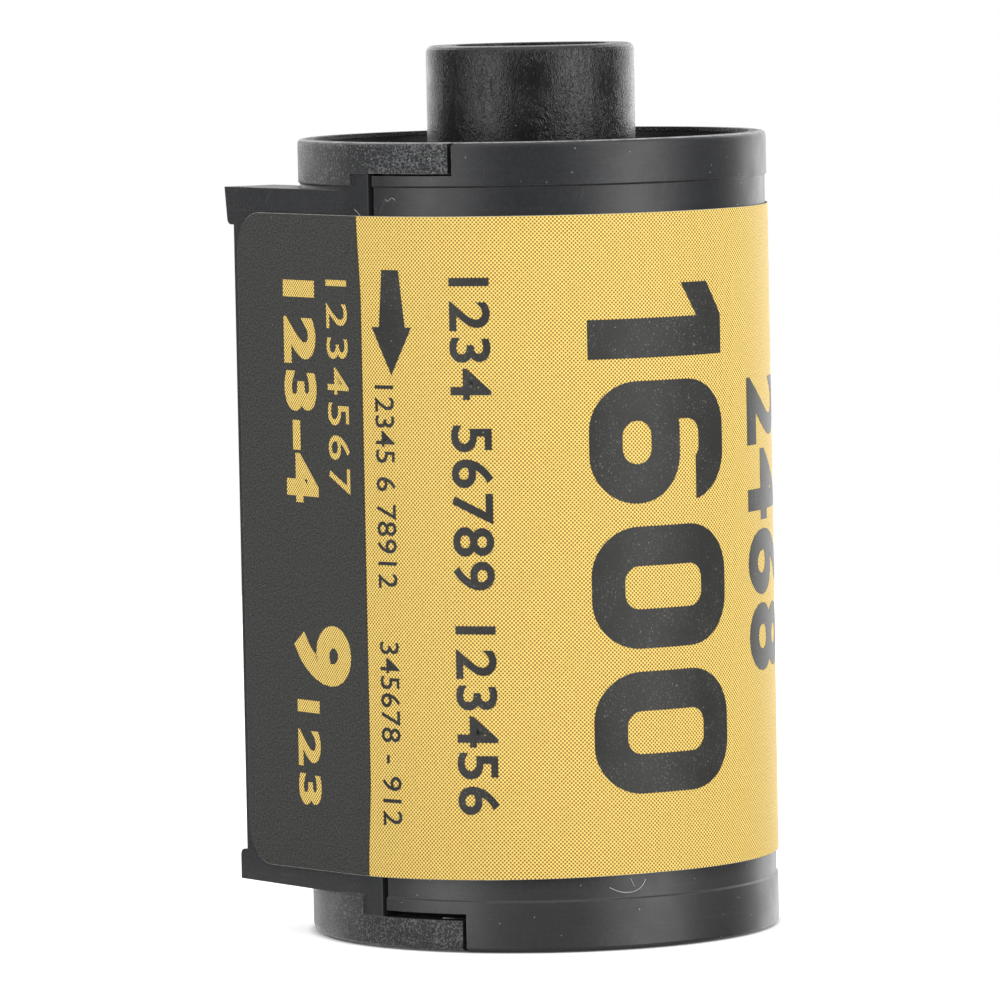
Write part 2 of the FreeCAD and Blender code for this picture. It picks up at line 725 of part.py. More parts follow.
def figure_block(name, left, foot, right, head, corner=None):
    """A rectangle or rounded rectangle of a figure.

    Across is the reading direction, which runs down the barrel; up is along the turn of the barrel.
    """
    half = mm["figure_height"] / 2
    y0, y1 = foot - half, head - half
    z0, z1 = row_start - right, row_start - left
    if corner is None:
        return figure_body(name, box_corners(y0, z0, y1, z1), {})
    return figure_body(
        name,
        [(y0 + corner, z0), (y1 - corner, z0), (y1, z0 + corner), (y1, z1 - corner),
         (y1 - corner, z1), (y0 + corner, z1), (y0, z1 - corner), (y0, z0 + corner)],
        {1: (corner, (y1 - corner, z0 + corner), True), 3: (corner, (y1 - corner, z1 - corner), True),
         5: (corner, (y0 + corner, z1 - corner), True), 7: (corner, (y0 + corner, z0 + corner), True)},
    )


def figure_ring(name, left, foot, head):
    """A round figure's closed loop between two heights."""
    stroke, width = mm["figure_stroke"], mm["figure_width"]
    corner = mm["figure_round"]
    thin = stroke * THIN_STROKE
    outer = figure_block(f"{name}_outer", left, foot, left + width, head, corner)
    inner = figure_block(
        f"{name}_counter", left + stroke, foot + thin, left + width - stroke, head - thin, corner - thin
    )
    return combine("Cut", f"{name}_loop", outer, inner)


def figure_one(left):
    """A stem with a flag that slopes down from its head."""
    tall, stroke = mm["figure_height"], mm["figure_stroke"]
    right = left + mm["figure_one"]
    stem = right - stroke
    tip = tall - stroke * FLAG_DROP
    flag = stroke * FLAG_STROKE
    outline = [(right, ZERO), (right, tall), (stem, tall), (left, tip), (left, tip - flag), (stem, tall - flag),
               (stem, ZERO)]
    return figure_body("one", [(up - tall / 2, row_start - across) for across, up in outline], {})


def figure_six(left):
    """A low bowl under a loop that is open at its right shoulder."""
    tall = mm["figure_height"]
    loop = figure_ring("six_back", left, ZERO, tall)
    middle = left + mm["figure_width"] / 2
    right = left + mm["figure_width"] + OVER
    cut = figure_block("six_opening", middle, as_size(-OVER), right, tall * SIX_SHOULDER)
    back = combine("Cut", "six_stem", loop, cut)
    bowl = figure_ring("six_bowl", left, ZERO, tall * SIX_BOWL)
    return combine("Fuse", "six", back, bowl)


def label_figures():
    """Four large plain figures, read down the barrel."""
    step = mm["figure_width"] + mm["figure_space"]
    second = mm["figure_one"] + mm["figure_space"]
    tall = mm["figure_height"]
    row = doc.addObject("Part::MultiFuse", "figure_row")
    row.Shapes = [
        figure_one(ZERO),
        figure_six(second),
        figure_ring("first_nought", second + step, ZERO, tall),
        figure_ring("last_nought", second + step * 2, ZERO, tall),
    ]
    skin = tube("figure_skin", label_outer, label_outer + mm["ink"], ZERO, height)
    return combine("Common", "label_figures", row, skin)


def build():
    """Make every piece and return them by node name."""
    pieces = [gate_shell(), back_shell(), spool(), film_roll(), anchor_tape()]
    pieces.append(light_trap("outer_light_trap", slot_outer, 1, mm["outer_pile_width"]))
    pieces.append(light_trap("inner_light_trap", slot_inner, -1, mm["inner_pile_width"]))
    front = label_front()
    pieces.append(wrap("label", label_inner, label_outer, mm["label_angle"], front))
    pieces.append(wrap("label_dark_panel", label_outer, label_outer + mm["ink"], mm["panel_angle"], front))
    pieces.append(label_figures())
    doc.recompute()
    return {piece.Label: piece for piece in pieces}


def check(pieces):
    """Stop on any failed object or bad shape."""
    for item in doc.Objects:
        if "Invalid" in item.State or "Error" in item.State:
            raise RuntimeError(f"{item.Name} failed: {item.State}")
    for name, piece in pieces.items():
        shape = piece.Shape
        if shape.isNull() or not shape.isValid() or not shape.Solids:
            raise RuntimeError(f"{name} has no valid solid")


def write(pieces):
    os.makedirs("parts", exist_ok=True)
    for name, piece in pieces.items():
        piece.Shape.exportStep(f"parts/{name}.step")
        box = piece.Shape.BoundBox
        print(
            f"{name}: {len(piece.Shape.Solids)} solid(s), {piece.Shape.Volume:.2f} mm3, "
            f"x {box.XMin:.2f} {box.XMax:.2f}, y {box.YMin:.2f} {box.YMax:.2f}, z {box.ZMin:.2f} {box.ZMax:.2f}"
        )


made = build()
check(made)
write(made)
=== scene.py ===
"""Looks of a 35 mm film cartridge: moulded plastic, wrapped paper label, velvet and print."""

import logging
import math
from dataclasses import dataclass
from enum import Enum

import bmesh
import bpy
from mathutils import Matrix, Vector, noise


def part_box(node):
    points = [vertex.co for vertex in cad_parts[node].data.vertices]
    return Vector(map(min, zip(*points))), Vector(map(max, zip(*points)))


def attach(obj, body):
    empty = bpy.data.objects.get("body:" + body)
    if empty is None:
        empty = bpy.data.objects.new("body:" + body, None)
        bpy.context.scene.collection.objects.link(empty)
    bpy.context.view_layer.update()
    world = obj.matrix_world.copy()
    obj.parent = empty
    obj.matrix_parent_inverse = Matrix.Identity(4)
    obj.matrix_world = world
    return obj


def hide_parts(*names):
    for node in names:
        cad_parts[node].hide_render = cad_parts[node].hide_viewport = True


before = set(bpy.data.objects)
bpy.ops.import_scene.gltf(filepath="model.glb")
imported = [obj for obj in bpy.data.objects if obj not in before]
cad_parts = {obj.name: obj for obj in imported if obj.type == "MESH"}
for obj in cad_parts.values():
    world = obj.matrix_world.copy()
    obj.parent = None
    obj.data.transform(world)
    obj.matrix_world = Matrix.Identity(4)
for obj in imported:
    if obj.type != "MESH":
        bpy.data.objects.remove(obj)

LOG = logging.getLogger("cartridge")
MM = 0.001
SHEET_MAP = "Sheet"
CASSETTE = "cassette"
INK_GAP = 0.001
INK = 0.012

Colour = tuple[float, float, float]
Place = tuple[float, float, float]
Span = tuple[float, float]


class Grain(Enum):
    """Surface that the mould gives to plastic."""

    SPARKED = "granular, from a spark-eroded mould"
    SATIN = "smooth, with faint drawing lines"
    LEATHER = "fine leathery pebbles"


class Ink(Enum):
    """What a printed line is made of."""

    DARK = "dark ink on the yellow field"
    OPEN = "yellow field left open in the dark panel"


class Graph:
    """Short calls that add and wire the nodes of one tree."""

    def __init__(self, tree: bpy.types.NodeTree) -> None:
        """Keep the tree of a material, a world or a modifier."""
        self.tree = tree

    def add(self, kind: str, feeds: dict | None = None, **settings) -> bpy.types.Node:
        """Add a node.

        Args:
            kind: Type name of the node.
            feeds: Input sockets by name or number, each a value or a socket to link.
            settings: Properties of the node itself.

        Returns:
            The new node.
        """
        node = self.tree.nodes.new(kind)
        for name, value in settings.items():
            setattr(node, name, value)
        for name, value in (feeds or {}).items():
            self.feed(node, name, value)
        return node

    def feed(self, node: bpy.types.Node, name: str | int, value) -> None:
        """Link a socket to an input, or set the input's own value.

        Args:
            node: Node that takes the value.
            name: Name or number of its input.
            value: Socket, number or tuple.
        """
        socket = node.inputs[name]
        if isinstance(value, bpy.types.NodeSocket):
            self.tree.links.new(value, socket)
        else:
            socket.default_value = value

    def math(self, operation: str, *values, clamp: bool = False) -> bpy.types.NodeSocket:
        """Result of a Math node, with its one to three inputs fed in order."""
        feeds = dict(enumerate(values))
        return self.add("ShaderNodeMath", feeds, operation=operation, use_clamp=clamp).outputs[0]

    def plus(self, first, second) -> bpy.types.NodeSocket:
        """Sum of two values."""
        return self.math("ADD", first, second)

    def minus(self, first, second) -> bpy.types.NodeSocket:
        """First value less the second."""
        return self.math("SUBTRACT", first, second)

    def times(self, first, second, clamp: bool = False) -> bpy.types.NodeSocket:
        """Product of two values, kept between 0 and 1 on request."""
        return self.math("MULTIPLY", first, second, clamp=clamp)

    def most(self, first, *others) -> bpy.types.NodeSocket:
        """Largest of several values."""
        for other in others:
            first = self.math("MAXIMUM", first, other)
        return first

    def vector(self, operation: str, *values) -> bpy.types.Node:
        """A Vector Math node, whose output 0 is a vector and "Value" a number."""
        return self.add("ShaderNodeVectorMath", dict(enumerate(values)), operation=operation)

    def scaled(self, where, factors: Place) -> bpy.types.NodeSocket:
        """A vector multiplied axis by axis."""
        return self.vector("MULTIPLY", where, factors).outputs[0]

    def split(self, where) -> list[bpy.types.NodeSocket]:
        """The three coordinates of a vector."""
        return list(self.add("ShaderNodeSeparateXYZ", {0: where}).outputs)

    def radius(self, where) -> bpy.types.NodeSocket:
        """Distance of a place from the upright axis."""
        return self.vector("LENGTH", self.scaled(where, (1.0, 1.0, 0.0))).outputs["Value"]

    def noise(self, where, scale: float, detail: float = 2.0, rough: float = 0.5) -> bpy.types.NodeSocket:
        """Noise from 0 to 1: features to the unit of the place, octaves, and weight of the finer octaves."""
        feeds = {"Vector": where, "Scale": scale, "Detail": detail, "Roughness": rough}
        return self.add("ShaderNodeTexNoise", feeds).outputs[0]

    def cells(self, where, scale: float) -> bpy.types.Node:
        """A Voronoi node with so many cells to the unit of the place."""
        return self.add("ShaderNodeTexVoronoi", {"Vector": where, "Scale": scale})

    def step(self, value, low: float, high: float, first: float = 0.0,
             last: float = 1.0) -> bpy.types.NodeSocket:
        """A smooth step from the first result to the last, while the value goes from low to high."""
        feeds = {"Value": value, "From Min": low, "From Max": high, "To Min": first, "To Max": last}
        return self.add("ShaderNodeMapRange", feeds, interpolation_type="SMOOTHSTEP", clamp=True).outputs[0]

    def window(self, value, low: float, high: float, soft: float) -> bpy.types.NodeSocket:
        """1 while the value lies between two limits, with soft edges of a given width inside them."""
        rise = self.step(value, low, low + soft)
        return self.times(rise, self.step(value, high - soft, high, 1.0, 0.0))

    def mix(self, share, first, second) -> bpy.types.NodeSocket:
        """Two colours mixed.

        Args:
            share: Share of the second, from 0 to 1.
            first: Colour or socket.
            second: Colour or socket.

        Returns:
            The colour's socket.
        """
        node = self.add("ShaderNodeMix", data_type="RGBA")
        first = first if isinstance(first, bpy.types.NodeSocket) else (*first, 1.0)
        second = second if isinstance(second, bpy.types.NodeSocket) else (*second, 1.0)
        for number, value in ((0, share), (6, first), (7, second)):
            self.feed(node, number, value)
        return node.outputs[2]

    def bump(self, height, depth: float, normal=None) -> bpy.types.NodeSocket:
        """A normal tilted by a relief.

        Args:
            height: Relief from 0 to 1.
            depth: Depth of that relief in millimetres.
            normal: Normal to start from.

        Returns:
            The normal's socket.
        """
        node = self.add("ShaderNodeBump", {"Height": height, "Strength": 1.0, "Distance": depth * MM})
        if normal is not None:
            self.feed(node, "Normal", normal)
        return node.outputs[0]


def new_material(name: str) -> tuple[bpy.types.Material, Graph]:
    """Make an empty node material.

    Args:
        name: Name of the material.

    Returns:
        The material and the graph of its tree.
    """
    material = bpy.data.materials.new(name)
    material.use_nodes = True
    material.node_tree.nodes.clear()
    return material, Graph(material.node_tree)


def surface(graph: Graph, **feeds) -> None:
    """Add the Principled shader and the output of a material.

    Args:
        graph: Graph of the material.
        feeds: Inputs of the shader, with underscores for spaces.
    """
    named = {name.replace("_", " "): value for name, value in feeds.items()}
    shader = graph.add("ShaderNodeBsdfPrincipled", named)
    graph.add("ShaderNodeOutputMaterial", {"Surface": shader.outputs[0]})


def part_millimetres(graph: Graph) -> bpy.types.NodeSocket:
    """The place on the part in millimetres, from Object coordinates."""
    return graph.scaled(graph.add("ShaderNodeTexCoord").outputs["Object"], (1.0 / MM, 1.0 / MM, 1.0 / MM))


def sheet_millimetres(graph: Graph) -> bpy.types.NodeSocket:
    """The place on the label in millimetres, from its own UV map."""
    return graph.add("ShaderNodeUVMap", uv_map=SHEET_MAP).outputs[0]


def lighter(shade: Colour, factor: float) -> Colour:
    """A shade multiplied by a factor."""
    return tuple(c * factor for c in shade)


def bent(graph: Graph, where, scale: float, reach: float) -> bpy.types.NodeSocket:
    """A place moved about by a noise of a given scale, by up to so many millimetres."""
    stray = graph.add("ShaderNodeTexNoise", {"Vector": where, "Scale": scale}).outputs[1]
    return graph.vector("ADD", where, graph.scaled(stray, (reach, reach, reach))).outputs[0]


def specks(graph: Graph, where, scale: float, size: float, rarity: float) -> bpy.types.NodeSocket:
    """Sparse small dots with uneven outlines.

    Args:
        graph: Graph of the material.
        where: Place in millimetres.
        scale: Cells to the millimetre.
        size: Radius of a dot, in cells.
        rarity: Share of cells without a dot.

    Returns:
        1 on a dot and 0 elsewhere.
    """
    node = graph.cells(bent(graph, where, 12.0, 0.05), scale)
    dot = graph.step(node.outputs["Distance"], size * 0.6, size, 1.0, 0.0)
    pick = graph.add("ShaderNodeSeparateColor", {0: node.outputs["Color"]}).outputs[0]
    return graph.times(dot, graph.math("GREATER_THAN", pick, rarity))


@dataclass(frozen=True)
class Finish:
    """Named finish, the base of all finishes that follow the part's own coordinates."""

    name: str

    def paint(self, graph: Graph, where) -> None:
        """Add the finish's nodes to an empty material, for a place in millimetres."""
        raise NotImplementedError

    def place(self, graph: Graph) -> bpy.types.NodeSocket:
        """The place that the finish follows, in millimetres."""
        return part_millimetres(graph)

    def material(self) -> bpy.types.Material:
        """Build the material."""
        made, graph = new_material(self.name)
        self.paint(graph, self.place(graph))
        return made


@dataclass(frozen=True)
class OpenLines:
    """Open lines round the arms and along the seam, where the plastic is painted black as shade: their limits
    in millimetres.
    """

    depth: Span = (11.45, 12.69)
    under_upper: Span = (41.28, 41.50)
    over_lower: Span = (1.66, 2.10)
    arms_from: Span = (2.28, 2.40)
    upper_end: Span = (41.3, 43.04)
    lower_end: Span = (0.06, 1.80)
    past_arms: Span = (6.95, 7.27)
    seam: Span = (2.20, 2.70)
    seam_height: Span = (1.6, 41.5)

    def share(self, graph: Graph, where) -> bpy.types.NodeSocket:
        """Find the lines, where the plastic is painted black as shade in the gaps.

        Args:
            graph: Graph of the material.
            where: Place in millimetres.

        Returns:
            1 inside an open line, where the shade is painted, and 0 elsewhere.
        """
        across, _, up = graph.split(where)
        sunk = graph.window(graph.radius(where), *self.depth, 0.03)
        levels = graph.most(
            graph.window(up, *self.under_upper, 0.02), graph.window(up, *self.over_lower, 0.02))
        levels = graph.times(levels, graph.step(across, *self.arms_from))
        tall = graph.most(graph.window(up, *self.upper_end, 0.03), graph.window(up, *self.lower_end, 0.05))
        ends = graph.times(tall, graph.window(across, *self.past_arms, 0.02))
        seam = graph.times(graph.window(up, *self.seam_height, 0.02), graph.window(across, *self.seam, 0.08))
        return graph.times(sunk, graph.most(levels, ends, seam))


@dataclass(frozen=True)
class MouldedPlastic(Finish):
    """Black moulded plastic with its grain, scuffed edges, dust and scratches, and painted highlights, light
    and shade.
    """

    grain: Grain
    shade: Colour = (0.0135, 0.0142, 0.0158)
    gloss: float = 0.40
    grain_size: float = 0.14
    grain_depth: float = 0.012
    rim_radius: float = 12.66
    low_rim: float = 2.66
    high_rim: float = 40.82
    foot: Span = (0.72, 0.90)
    head: Span = (42.8, 42.9)
    crest: float = 43.075
    crest_radius: float = 12.30
    # Painted highlight: strength of the light line along the rim's crest.
    crest_highlight: float = 1.0
    edge: float = 0.045
    # Painted highlight: lighter tops of the grain, for glints.
    painted_glint: Colour = (0.205, 0.210, 0.215)
    # Painted light: how far the glints grow towards the right of the arms, where the right lamp falls.
    painted_arm_light: float = 0.0
    # Painted light: lighter colour near the foot, for light bounced off the floor.
    painted_floor_light: Colour = (0.25, 0.25, 0.25)
    # Light edges: worn plastic and a painted highlight.
    bare: Colour = (0.46, 0.46, 0.465)
    scratch: Colour = (0.15, 0.15, 0.155)
    dust: Colour = (0.72, 0.72, 0.70)
    # Painted shade: near-black colour for the open gaps round the arms and along the seam.
    painted_gap_shade: Colour = (0.0015, 0.0015, 0.0015)
    lines: OpenLines = OpenLines()

    def rim_share(self, graph: Graph, where) -> bpy.types.NodeSocket:
        """Tell the granular rims, arms and rim ends from the smooth barrel, strip and mouth.

        Args:
            graph: Graph of the material.
            where: Place in millimetres.

        Returns:
            The share of the granular surface.
        """
        up, radius = graph.split(where)[2], graph.radius(where)
        outer = graph.step(radius, self.rim_radius - 0.03, self.rim_radius + 0.01)
        barrel = graph.step(radius, self.rim_radius + 0.10, self.rim_radius + 0.16, 1.0, 0.0)
        ends = graph.most(graph.step(up, *self.foot, 1.0, 0.0), graph.step(up, *self.head))
        low = graph.step(up, self.low_rim - 0.04, self.low_rim, 1.0, 0.0)
        high = graph.step(up, self.high_rim - 0.04, self.high_rim)
        rims = graph.times(graph.most(low, high), barrel)
        return graph.times(graph.most(outer, ends), rims, clamp=True)

    def sparked(self, graph: Graph, where) -> bpy.types.NodeSocket:
        """Height of a granular surface: round bumps of two sizes."""
        size = 1.0 / self.grain_size
        coarse = graph.step(graph.noise(where, size, 2.0, 0.7), 0.28, 0.72)
        bumps = graph.cells(where, size * 1.2).outputs["Distance"]
        return graph.plus(graph.times(coarse, 0.65), graph.times(bumps, 0.35))

    def wrinkled(self, graph: Graph, where) -> bpy.types.NodeSocket:
        """Height of a leathery surface: short creases that run mostly upwards."""
        size = 1.0 / self.grain_size
        slanting = graph.scaled(bent(graph, where, size * 0.35, 0.5), (1.0, 1.0, 0.55))
        slow = graph.minus(graph.noise(slanting, size, 2.0, 0.6), 0.5)
        crease = graph.times(graph.math("ABSOLUTE", slow), 3.0, clamp=True)
        fine = graph.noise(where, size * 2.3, 2.0, 0.6)
        return graph.plus(graph.times(crease, 0.8), graph.times(fine, 0.25))

    def drawn(self, graph: Graph, where) -> bpy.types.NodeSocket:
        """Height of a smooth surface: fine level lines and a faint mottle."""
        lines = graph.noise(graph.scaled(where, (0.25, 0.25, 8.0)), 1.0, 3.0, 0.7)
        return graph.times(graph.plus(lines, graph.noise(where, 7.0, 2.0, 0.6)), 0.22)

    def relief(self, graph: Graph, where) -> tuple[bpy.types.NodeSocket, bpy.types.NodeSocket]:
        """Height of the moulded grain.

        Args:
            graph: Graph of the material.
            where: Place in millimetres.

        Returns:
            The height from 0 to 1, and the share of coarse grain.
        """
        coarse = self.wrinkled if self.grain is Grain.LEATHER else self.sparked
        if self.grain is Grain.LEATHER:
            share = graph.step(graph.noise(where, 0.42, 1.0), 0.28, 0.55, 0.50, 1.0)
        elif self.grain is Grain.SPARKED:
            patchy = graph.step(graph.noise(where, 0.30, 1.0), 0.30, 0.60, 0.75, 1.0)
            share = graph.times(self.rim_share(graph, where), patchy)
        else:
            share = graph.step(graph.noise(where, 0.21, 1.0), 0.50, 0.72, 0.02, 0.12)
        rest = graph.times(self.drawn(graph, where), graph.minus(1.0, share))
        return graph.plus(graph.times(coarse(graph, where), share), rest), share

    def scratches(self, graph: Graph, where) -> bpy.types.NodeSocket:
        """1 on thin slanting lines, few and short."""
        turned = graph.add("ShaderNodeMapping", {"Vector": where, "Rotation": (0.5, 0.9, 0.35)}).outputs[0]
        line = graph.noise(graph.scaled(turned, (0.40, 17.0, 0.45)), 1.0, 0.0)
        patch = graph.step(graph.noise(where, 0.34, 1.0), 0.56, 0.64)
        return graph.times(graph.step(line, 0.735, 0.765), patch)

    def edge_wear_and_highlight(self, graph: Graph, where, soft) -> bpy.types.NodeSocket:
        """Find the sharp edges, which are worn and painted with a highlight, and the crest of the upper rim,
        painted as a highlight line.

        Args:
            graph: Graph of the material.
            where: Place in millimetres.
            soft: Normal that is rounded at the edges.

        Returns:
            The share of light edge: wear and painted highlight.
        """
        plain = graph.add("ShaderNodeNewGeometry").outputs["Normal"]
        along = graph.vector("DOT_PRODUCT", soft, plain).outputs["Value"]
        glint_level = graph.step(graph.noise(where, 1.3, 3.0, 0.75), 0.34, 0.60, 0.35, 1.0)
        crest = graph.times(
            graph.step(graph.split(where)[2], self.crest - 0.04, self.crest, 0.0, self.crest_highlight),
            graph.step(graph.radius(where), self.crest_radius - 0.1, self.crest_radius))
        return graph.times(graph.most(graph.step(along, 0.78, 0.97, 0.55, 0.0), crest), glint_level)

    def tone(self, graph: Graph, where) -> bpy.types.NodeSocket:
        """Colour of the clean plastic: the shade with clouds, a mottle and level lines."""
        cloud = graph.step(graph.noise(where, 0.16, 3.0, 0.55), 0.30, 0.72)
        mottle = graph.step(graph.noise(where, 5.5, 3.0, 0.65), 0.40, 0.75, 0.0, 0.75)
        lines = graph.noise(graph.scaled(where, (0.20, 0.20, 6.5)), 1.0, 3.0, 0.7)
        tone = graph.mix(cloud, self.shade, lighter(self.shade, 1.35))
        tone = graph.mix(mottle, tone, lighter(self.shade, 2.1))
        return graph.mix(graph.step(lines, 0.52, 0.72, 0.0, 0.40), tone, lighter(self.shade, 2.6))

    def paint(self, graph: Graph, where) -> None:
        """Add the plastic's nodes: grain, painted glints on the grain, painted light near the foot, worn
        edges with a painted highlight, scratches, dust and painted shade in the gaps.
        """
        height, share = self.relief(graph, where)
        soft = graph.add("ShaderNodeBevel", {"Radius": self.edge * MM}, samples=6).outputs[0]
        across, _, up = graph.split(where)
        # Painted light and highlight: grain tops are made light as glints, more of them towards the right of
        # the arms.
        glint_level = graph.plus(height, graph.step(across, 0.5, 4.0, 0.0, self.painted_arm_light))
        painted_glint = graph.times(graph.step(glint_level, 0.60, 0.80), share)
        large, small = specks(graph, where, 0.85, 0.030, 0.45), specks(graph, where, 2.4, 0.058, 0.72)
        # Mask of the painted shade in the open gaps.
        gap_shade = self.lines.share(graph, where)
        tone = graph.mix(graph.times(painted_glint, 0.80), self.tone(graph, where), self.painted_glint)
        # Painted light: the plastic is made lighter below about 4 mm, where light from the floor falls on it.
        tone = graph.mix(graph.step(up, 3.0, 4.4, 0.065, 0.0), tone, self.painted_floor_light)
        # Wear and painted highlight: the edges and the rim's crest are made light.
        tone = graph.mix(graph.times(self.edge_wear_and_highlight(graph, where, soft), 0.85), tone, self.bare)
        tone = graph.mix(graph.times(self.scratches(graph, where), 0.20), tone, self.scratch)
        tone = graph.mix(graph.most(large, small), tone, self.dust)
        # Painted shade: the plastic inside the open gaps is made near-black.
        tone = graph.mix(gap_shade, tone, self.painted_gap_shade)
        sheen = graph.noise(where, 0.55, 3.0, 0.6)
        gloss = graph.step(sheen, 0.25, 0.75, self.gloss - 0.04, self.gloss + 0.05)
        surface(graph, Base_Color=tone, Roughness=graph.most(gloss, gap_shade),
                Normal=graph.bump(height, self.grain_depth, soft), Specular_IOR_Level=0.65, IOR=1.5)


@dataclass(frozen=True)
class PrintedPaper(Finish):
    """Label paper with a yellow halftone field and a dark panel."""

    open_only: bool = False
    pitch: float = 0.152
    screen_turn: float = 45.0
    light: Colour = (1.00, 0.805, 0.255)
    dot: Colour = (0.34, 0.115, 0.001)
    panel: Colour = (0.0365, 0.0371, 0.0352)
    fibres: Colour = (0.11, 0.11, 0.10)
    dust: Colour = (0.40, 0.40, 0.38)
    overlap: Colour = (0.045, 0.022, 0.008)
    border: float = 1.41
    bulge: float = 0.26

    def place(self, graph: Graph) -> bpy.types.NodeSocket:
        """The place on the flat label."""
        return sheet_millimetres(graph)

    def field(self, graph: Graph, where) -> bpy.types.NodeSocket:
        """Colour of the yellow field: a screen of dots on a slant.

        Args:
            graph: Graph of the material.
            where: Place on the label in millimetres.

        Returns:
            The colour's socket.
        """
        slant = (0.0, 0.0, math.radians(self.screen_turn))
        turned = graph.split(graph.add("ShaderNodeMapping", {"Vector": where, "Rotation": slant}).outputs[0])
        turn = 2.0 * math.pi / self.pitch
        waves = [graph.math("COSINE", graph.times(turned[k], turn)) for k in (0, 1)]
        spread = graph.times(graph.minus(graph.noise(where, 5.0, 2.0), 0.5), 0.7)
        dot = graph.step(graph.plus(graph.plus(*waves), spread), -0.15, 0.60)
        tone = graph.mix(graph.noise(where, 0.12, 2.0), self.light, lighter(self.light, 0.95))
        return graph.mix(dot, tone, self.dot)

    def dark_panel(self, graph: Graph, where, tone, fibre) -> bpy.types.NodeSocket:
        """Lay the dark panel over the mouth's side of the field.

        Args:
            graph: Graph of the material.
            where: Place on the label in millimetres.
            tone: Colour of the field.
            fibre: Grain of the paper.

        Returns:
            The colour's socket.
        """
        along, up, _ = graph.split(where)
        ragged = graph.times(graph.minus(graph.noise(where, 9.0, 2.0), 0.5), 0.05)
        bowed = graph.times(graph.window(up, 4.0, 39.5, 5.2), self.bulge)
        along = graph.minus(graph.plus(along, ragged), bowed)
        mottle = graph.step(graph.noise(where, 11.0, 3.0, 0.7), 0.38, 0.70)
        dark = graph.mix(mottle, self.panel, lighter(self.panel, 2.9))
        dark = graph.mix(graph.step(fibre, 0.52, 0.70, 0.0, 0.55), dark, self.fibres)
        dust = graph.most(specks(graph, where, 1.1, 0.050, 0.80), specks(graph, where, 3.2, 0.10, 0.92))
        dark = graph.mix(graph.times(dust, 0.45), dark, self.dust)
        rim = graph.step(graph.math("ABSOLUTE", graph.minus(along, self.border)), 0.0, 0.07, 0.85, 0.0)
        both = graph.mix(graph.step(along, self.border - 0.015, self.border + 0.015), dark, tone)
        return graph.mix(rim, both, self.overlap)

    def paint(self, graph: Graph, where) -> None:
        """Add the paper's nodes: field, panel, grain of the paper and its waves."""
        tone = self.field(graph, where)
        fibre = graph.noise(graph.scaled(where, (1.0, 1.0, 0.0)), 7.0, 3.0, 0.7)
        if not self.open_only:
            tone = self.dark_panel(graph, where, tone, fibre)
        cockle = graph.noise(where, 0.35, 2.0, 0.5)
        height = graph.plus(graph.times(fibre, 0.12), graph.times(cockle, 0.8))
        surface(graph, Base_Color=tone, Roughness=graph.step(fibre, 0.2, 0.8, 0.42, 0.54),
                Normal=graph.bump(height, 0.03), Specular_IOR_Level=0.09, IOR=1.45)


@dataclass(frozen=True)
class DarkInk(Finish):
    """Dark ink with paper fibres that show through."""

    shade: Colour = (0.0300, 0.0305, 0.0290)
    fibres: Colour = (0.32, 0.315, 0.27)
    holes: Colour = (0.60, 0.55, 0.42)

    def paint(self, graph: Graph, where) -> None:
        """Add the ink's nodes: uneven ink, fibres in it and small holes."""
        fibre = graph.noise(where, 9.0, 4.0, 0.85)
        cloud = graph.noise(where, 0.45, 2.0)
        bare = graph.times(graph.step(fibre, 0.57, 0.68), graph.step(cloud, 0.38, 0.62, 0.30, 1.0))
        tone = graph.mix(graph.step(cloud, 0.3, 0.7), self.shade, lighter(self.shade, 1.2))
        tone = graph.mix(bare, tone, self.fibres)
        tone = graph.mix(graph.times(specks(graph, where, 2.6, 0.09, 0.86), 0.7), tone, self.holes)
        surface(graph, Base_Color=tone, Roughness=graph.step(fibre, 0.3, 0.7, 0.40, 0.52),
                Normal=graph.bump(fibre, 0.004), Specular_IOR_Level=0.35)


@dataclass(frozen=True)
class CutPaper(Finish):
    """White core of the label stock, seen at its cut edges."""

    shade: Colour = (0.20, 0.196, 0.184)
    light: Colour = (0.50, 0.485, 0.445)

    def paint(self, graph: Graph, where) -> None:
        """Add the paper's nodes."""
        fibre = graph.noise(where, 6.0, 4.0, 0.7)
        tone = graph.mix(graph.step(fibre, 0.3, 0.75), self.shade, self.light)
        surface(graph, Base_Color=tone, Roughness=0.85, Normal=graph.bump(fibre, 0.01),
                Specular_IOR_Level=0.3)


@dataclass(frozen=True)
class Velvet(Finish):
    """Black pile of the light traps."""

    shade: Colour = (0.006, 0.006, 0.007)
    light: Colour = (0.022, 0.021, 0.023)

    def paint(self, graph: Graph, where) -> None:
        """Add the pile's nodes."""
        pile = graph.noise(where, 4.0, 3.0, 0.7)
        surface(graph, Base_Color=graph.mix(pile, self.shade, self.light), Roughness=0.95,
                Normal=graph.bump(pile, 0.05), Specular_IOR_Level=0.1, Sheen_Weight=0.35, Sheen_Roughness=0.4)


@dataclass(frozen=True)
class FilmStock(Finish):
    """Film with its glossy back, and the turns that show at the ends of the roll."""

    turn: float = 0.14
    shade: Colour = (0.030, 0.018, 0.012)
    light: Colour = (0.050, 0.030, 0.018)
    gap: Colour = (0.010, 0.007, 0.006)

    def paint(self, graph: Graph, where) -> None:
        """Add the film's nodes."""
        turns = graph.math("DIVIDE", graph.radius(where), self.turn)
        line = graph.step(graph.math("FRACT", turns), 0.0, 0.25)
        cloud = graph.noise(where, 0.3, 2.0)
        tone = graph.mix(graph.minus(1.0, line), graph.mix(cloud, self.shade, self.light), self.gap)
        surface(graph, Base_Color=tone, Roughness=graph.step(cloud, 0.2, 0.8, 0.16, 0.26),
                Normal=graph.bump(line, 0.02), Specular_IOR_Level=0.5, Coat_Weight=0.3, Coat_Roughness=0.1)


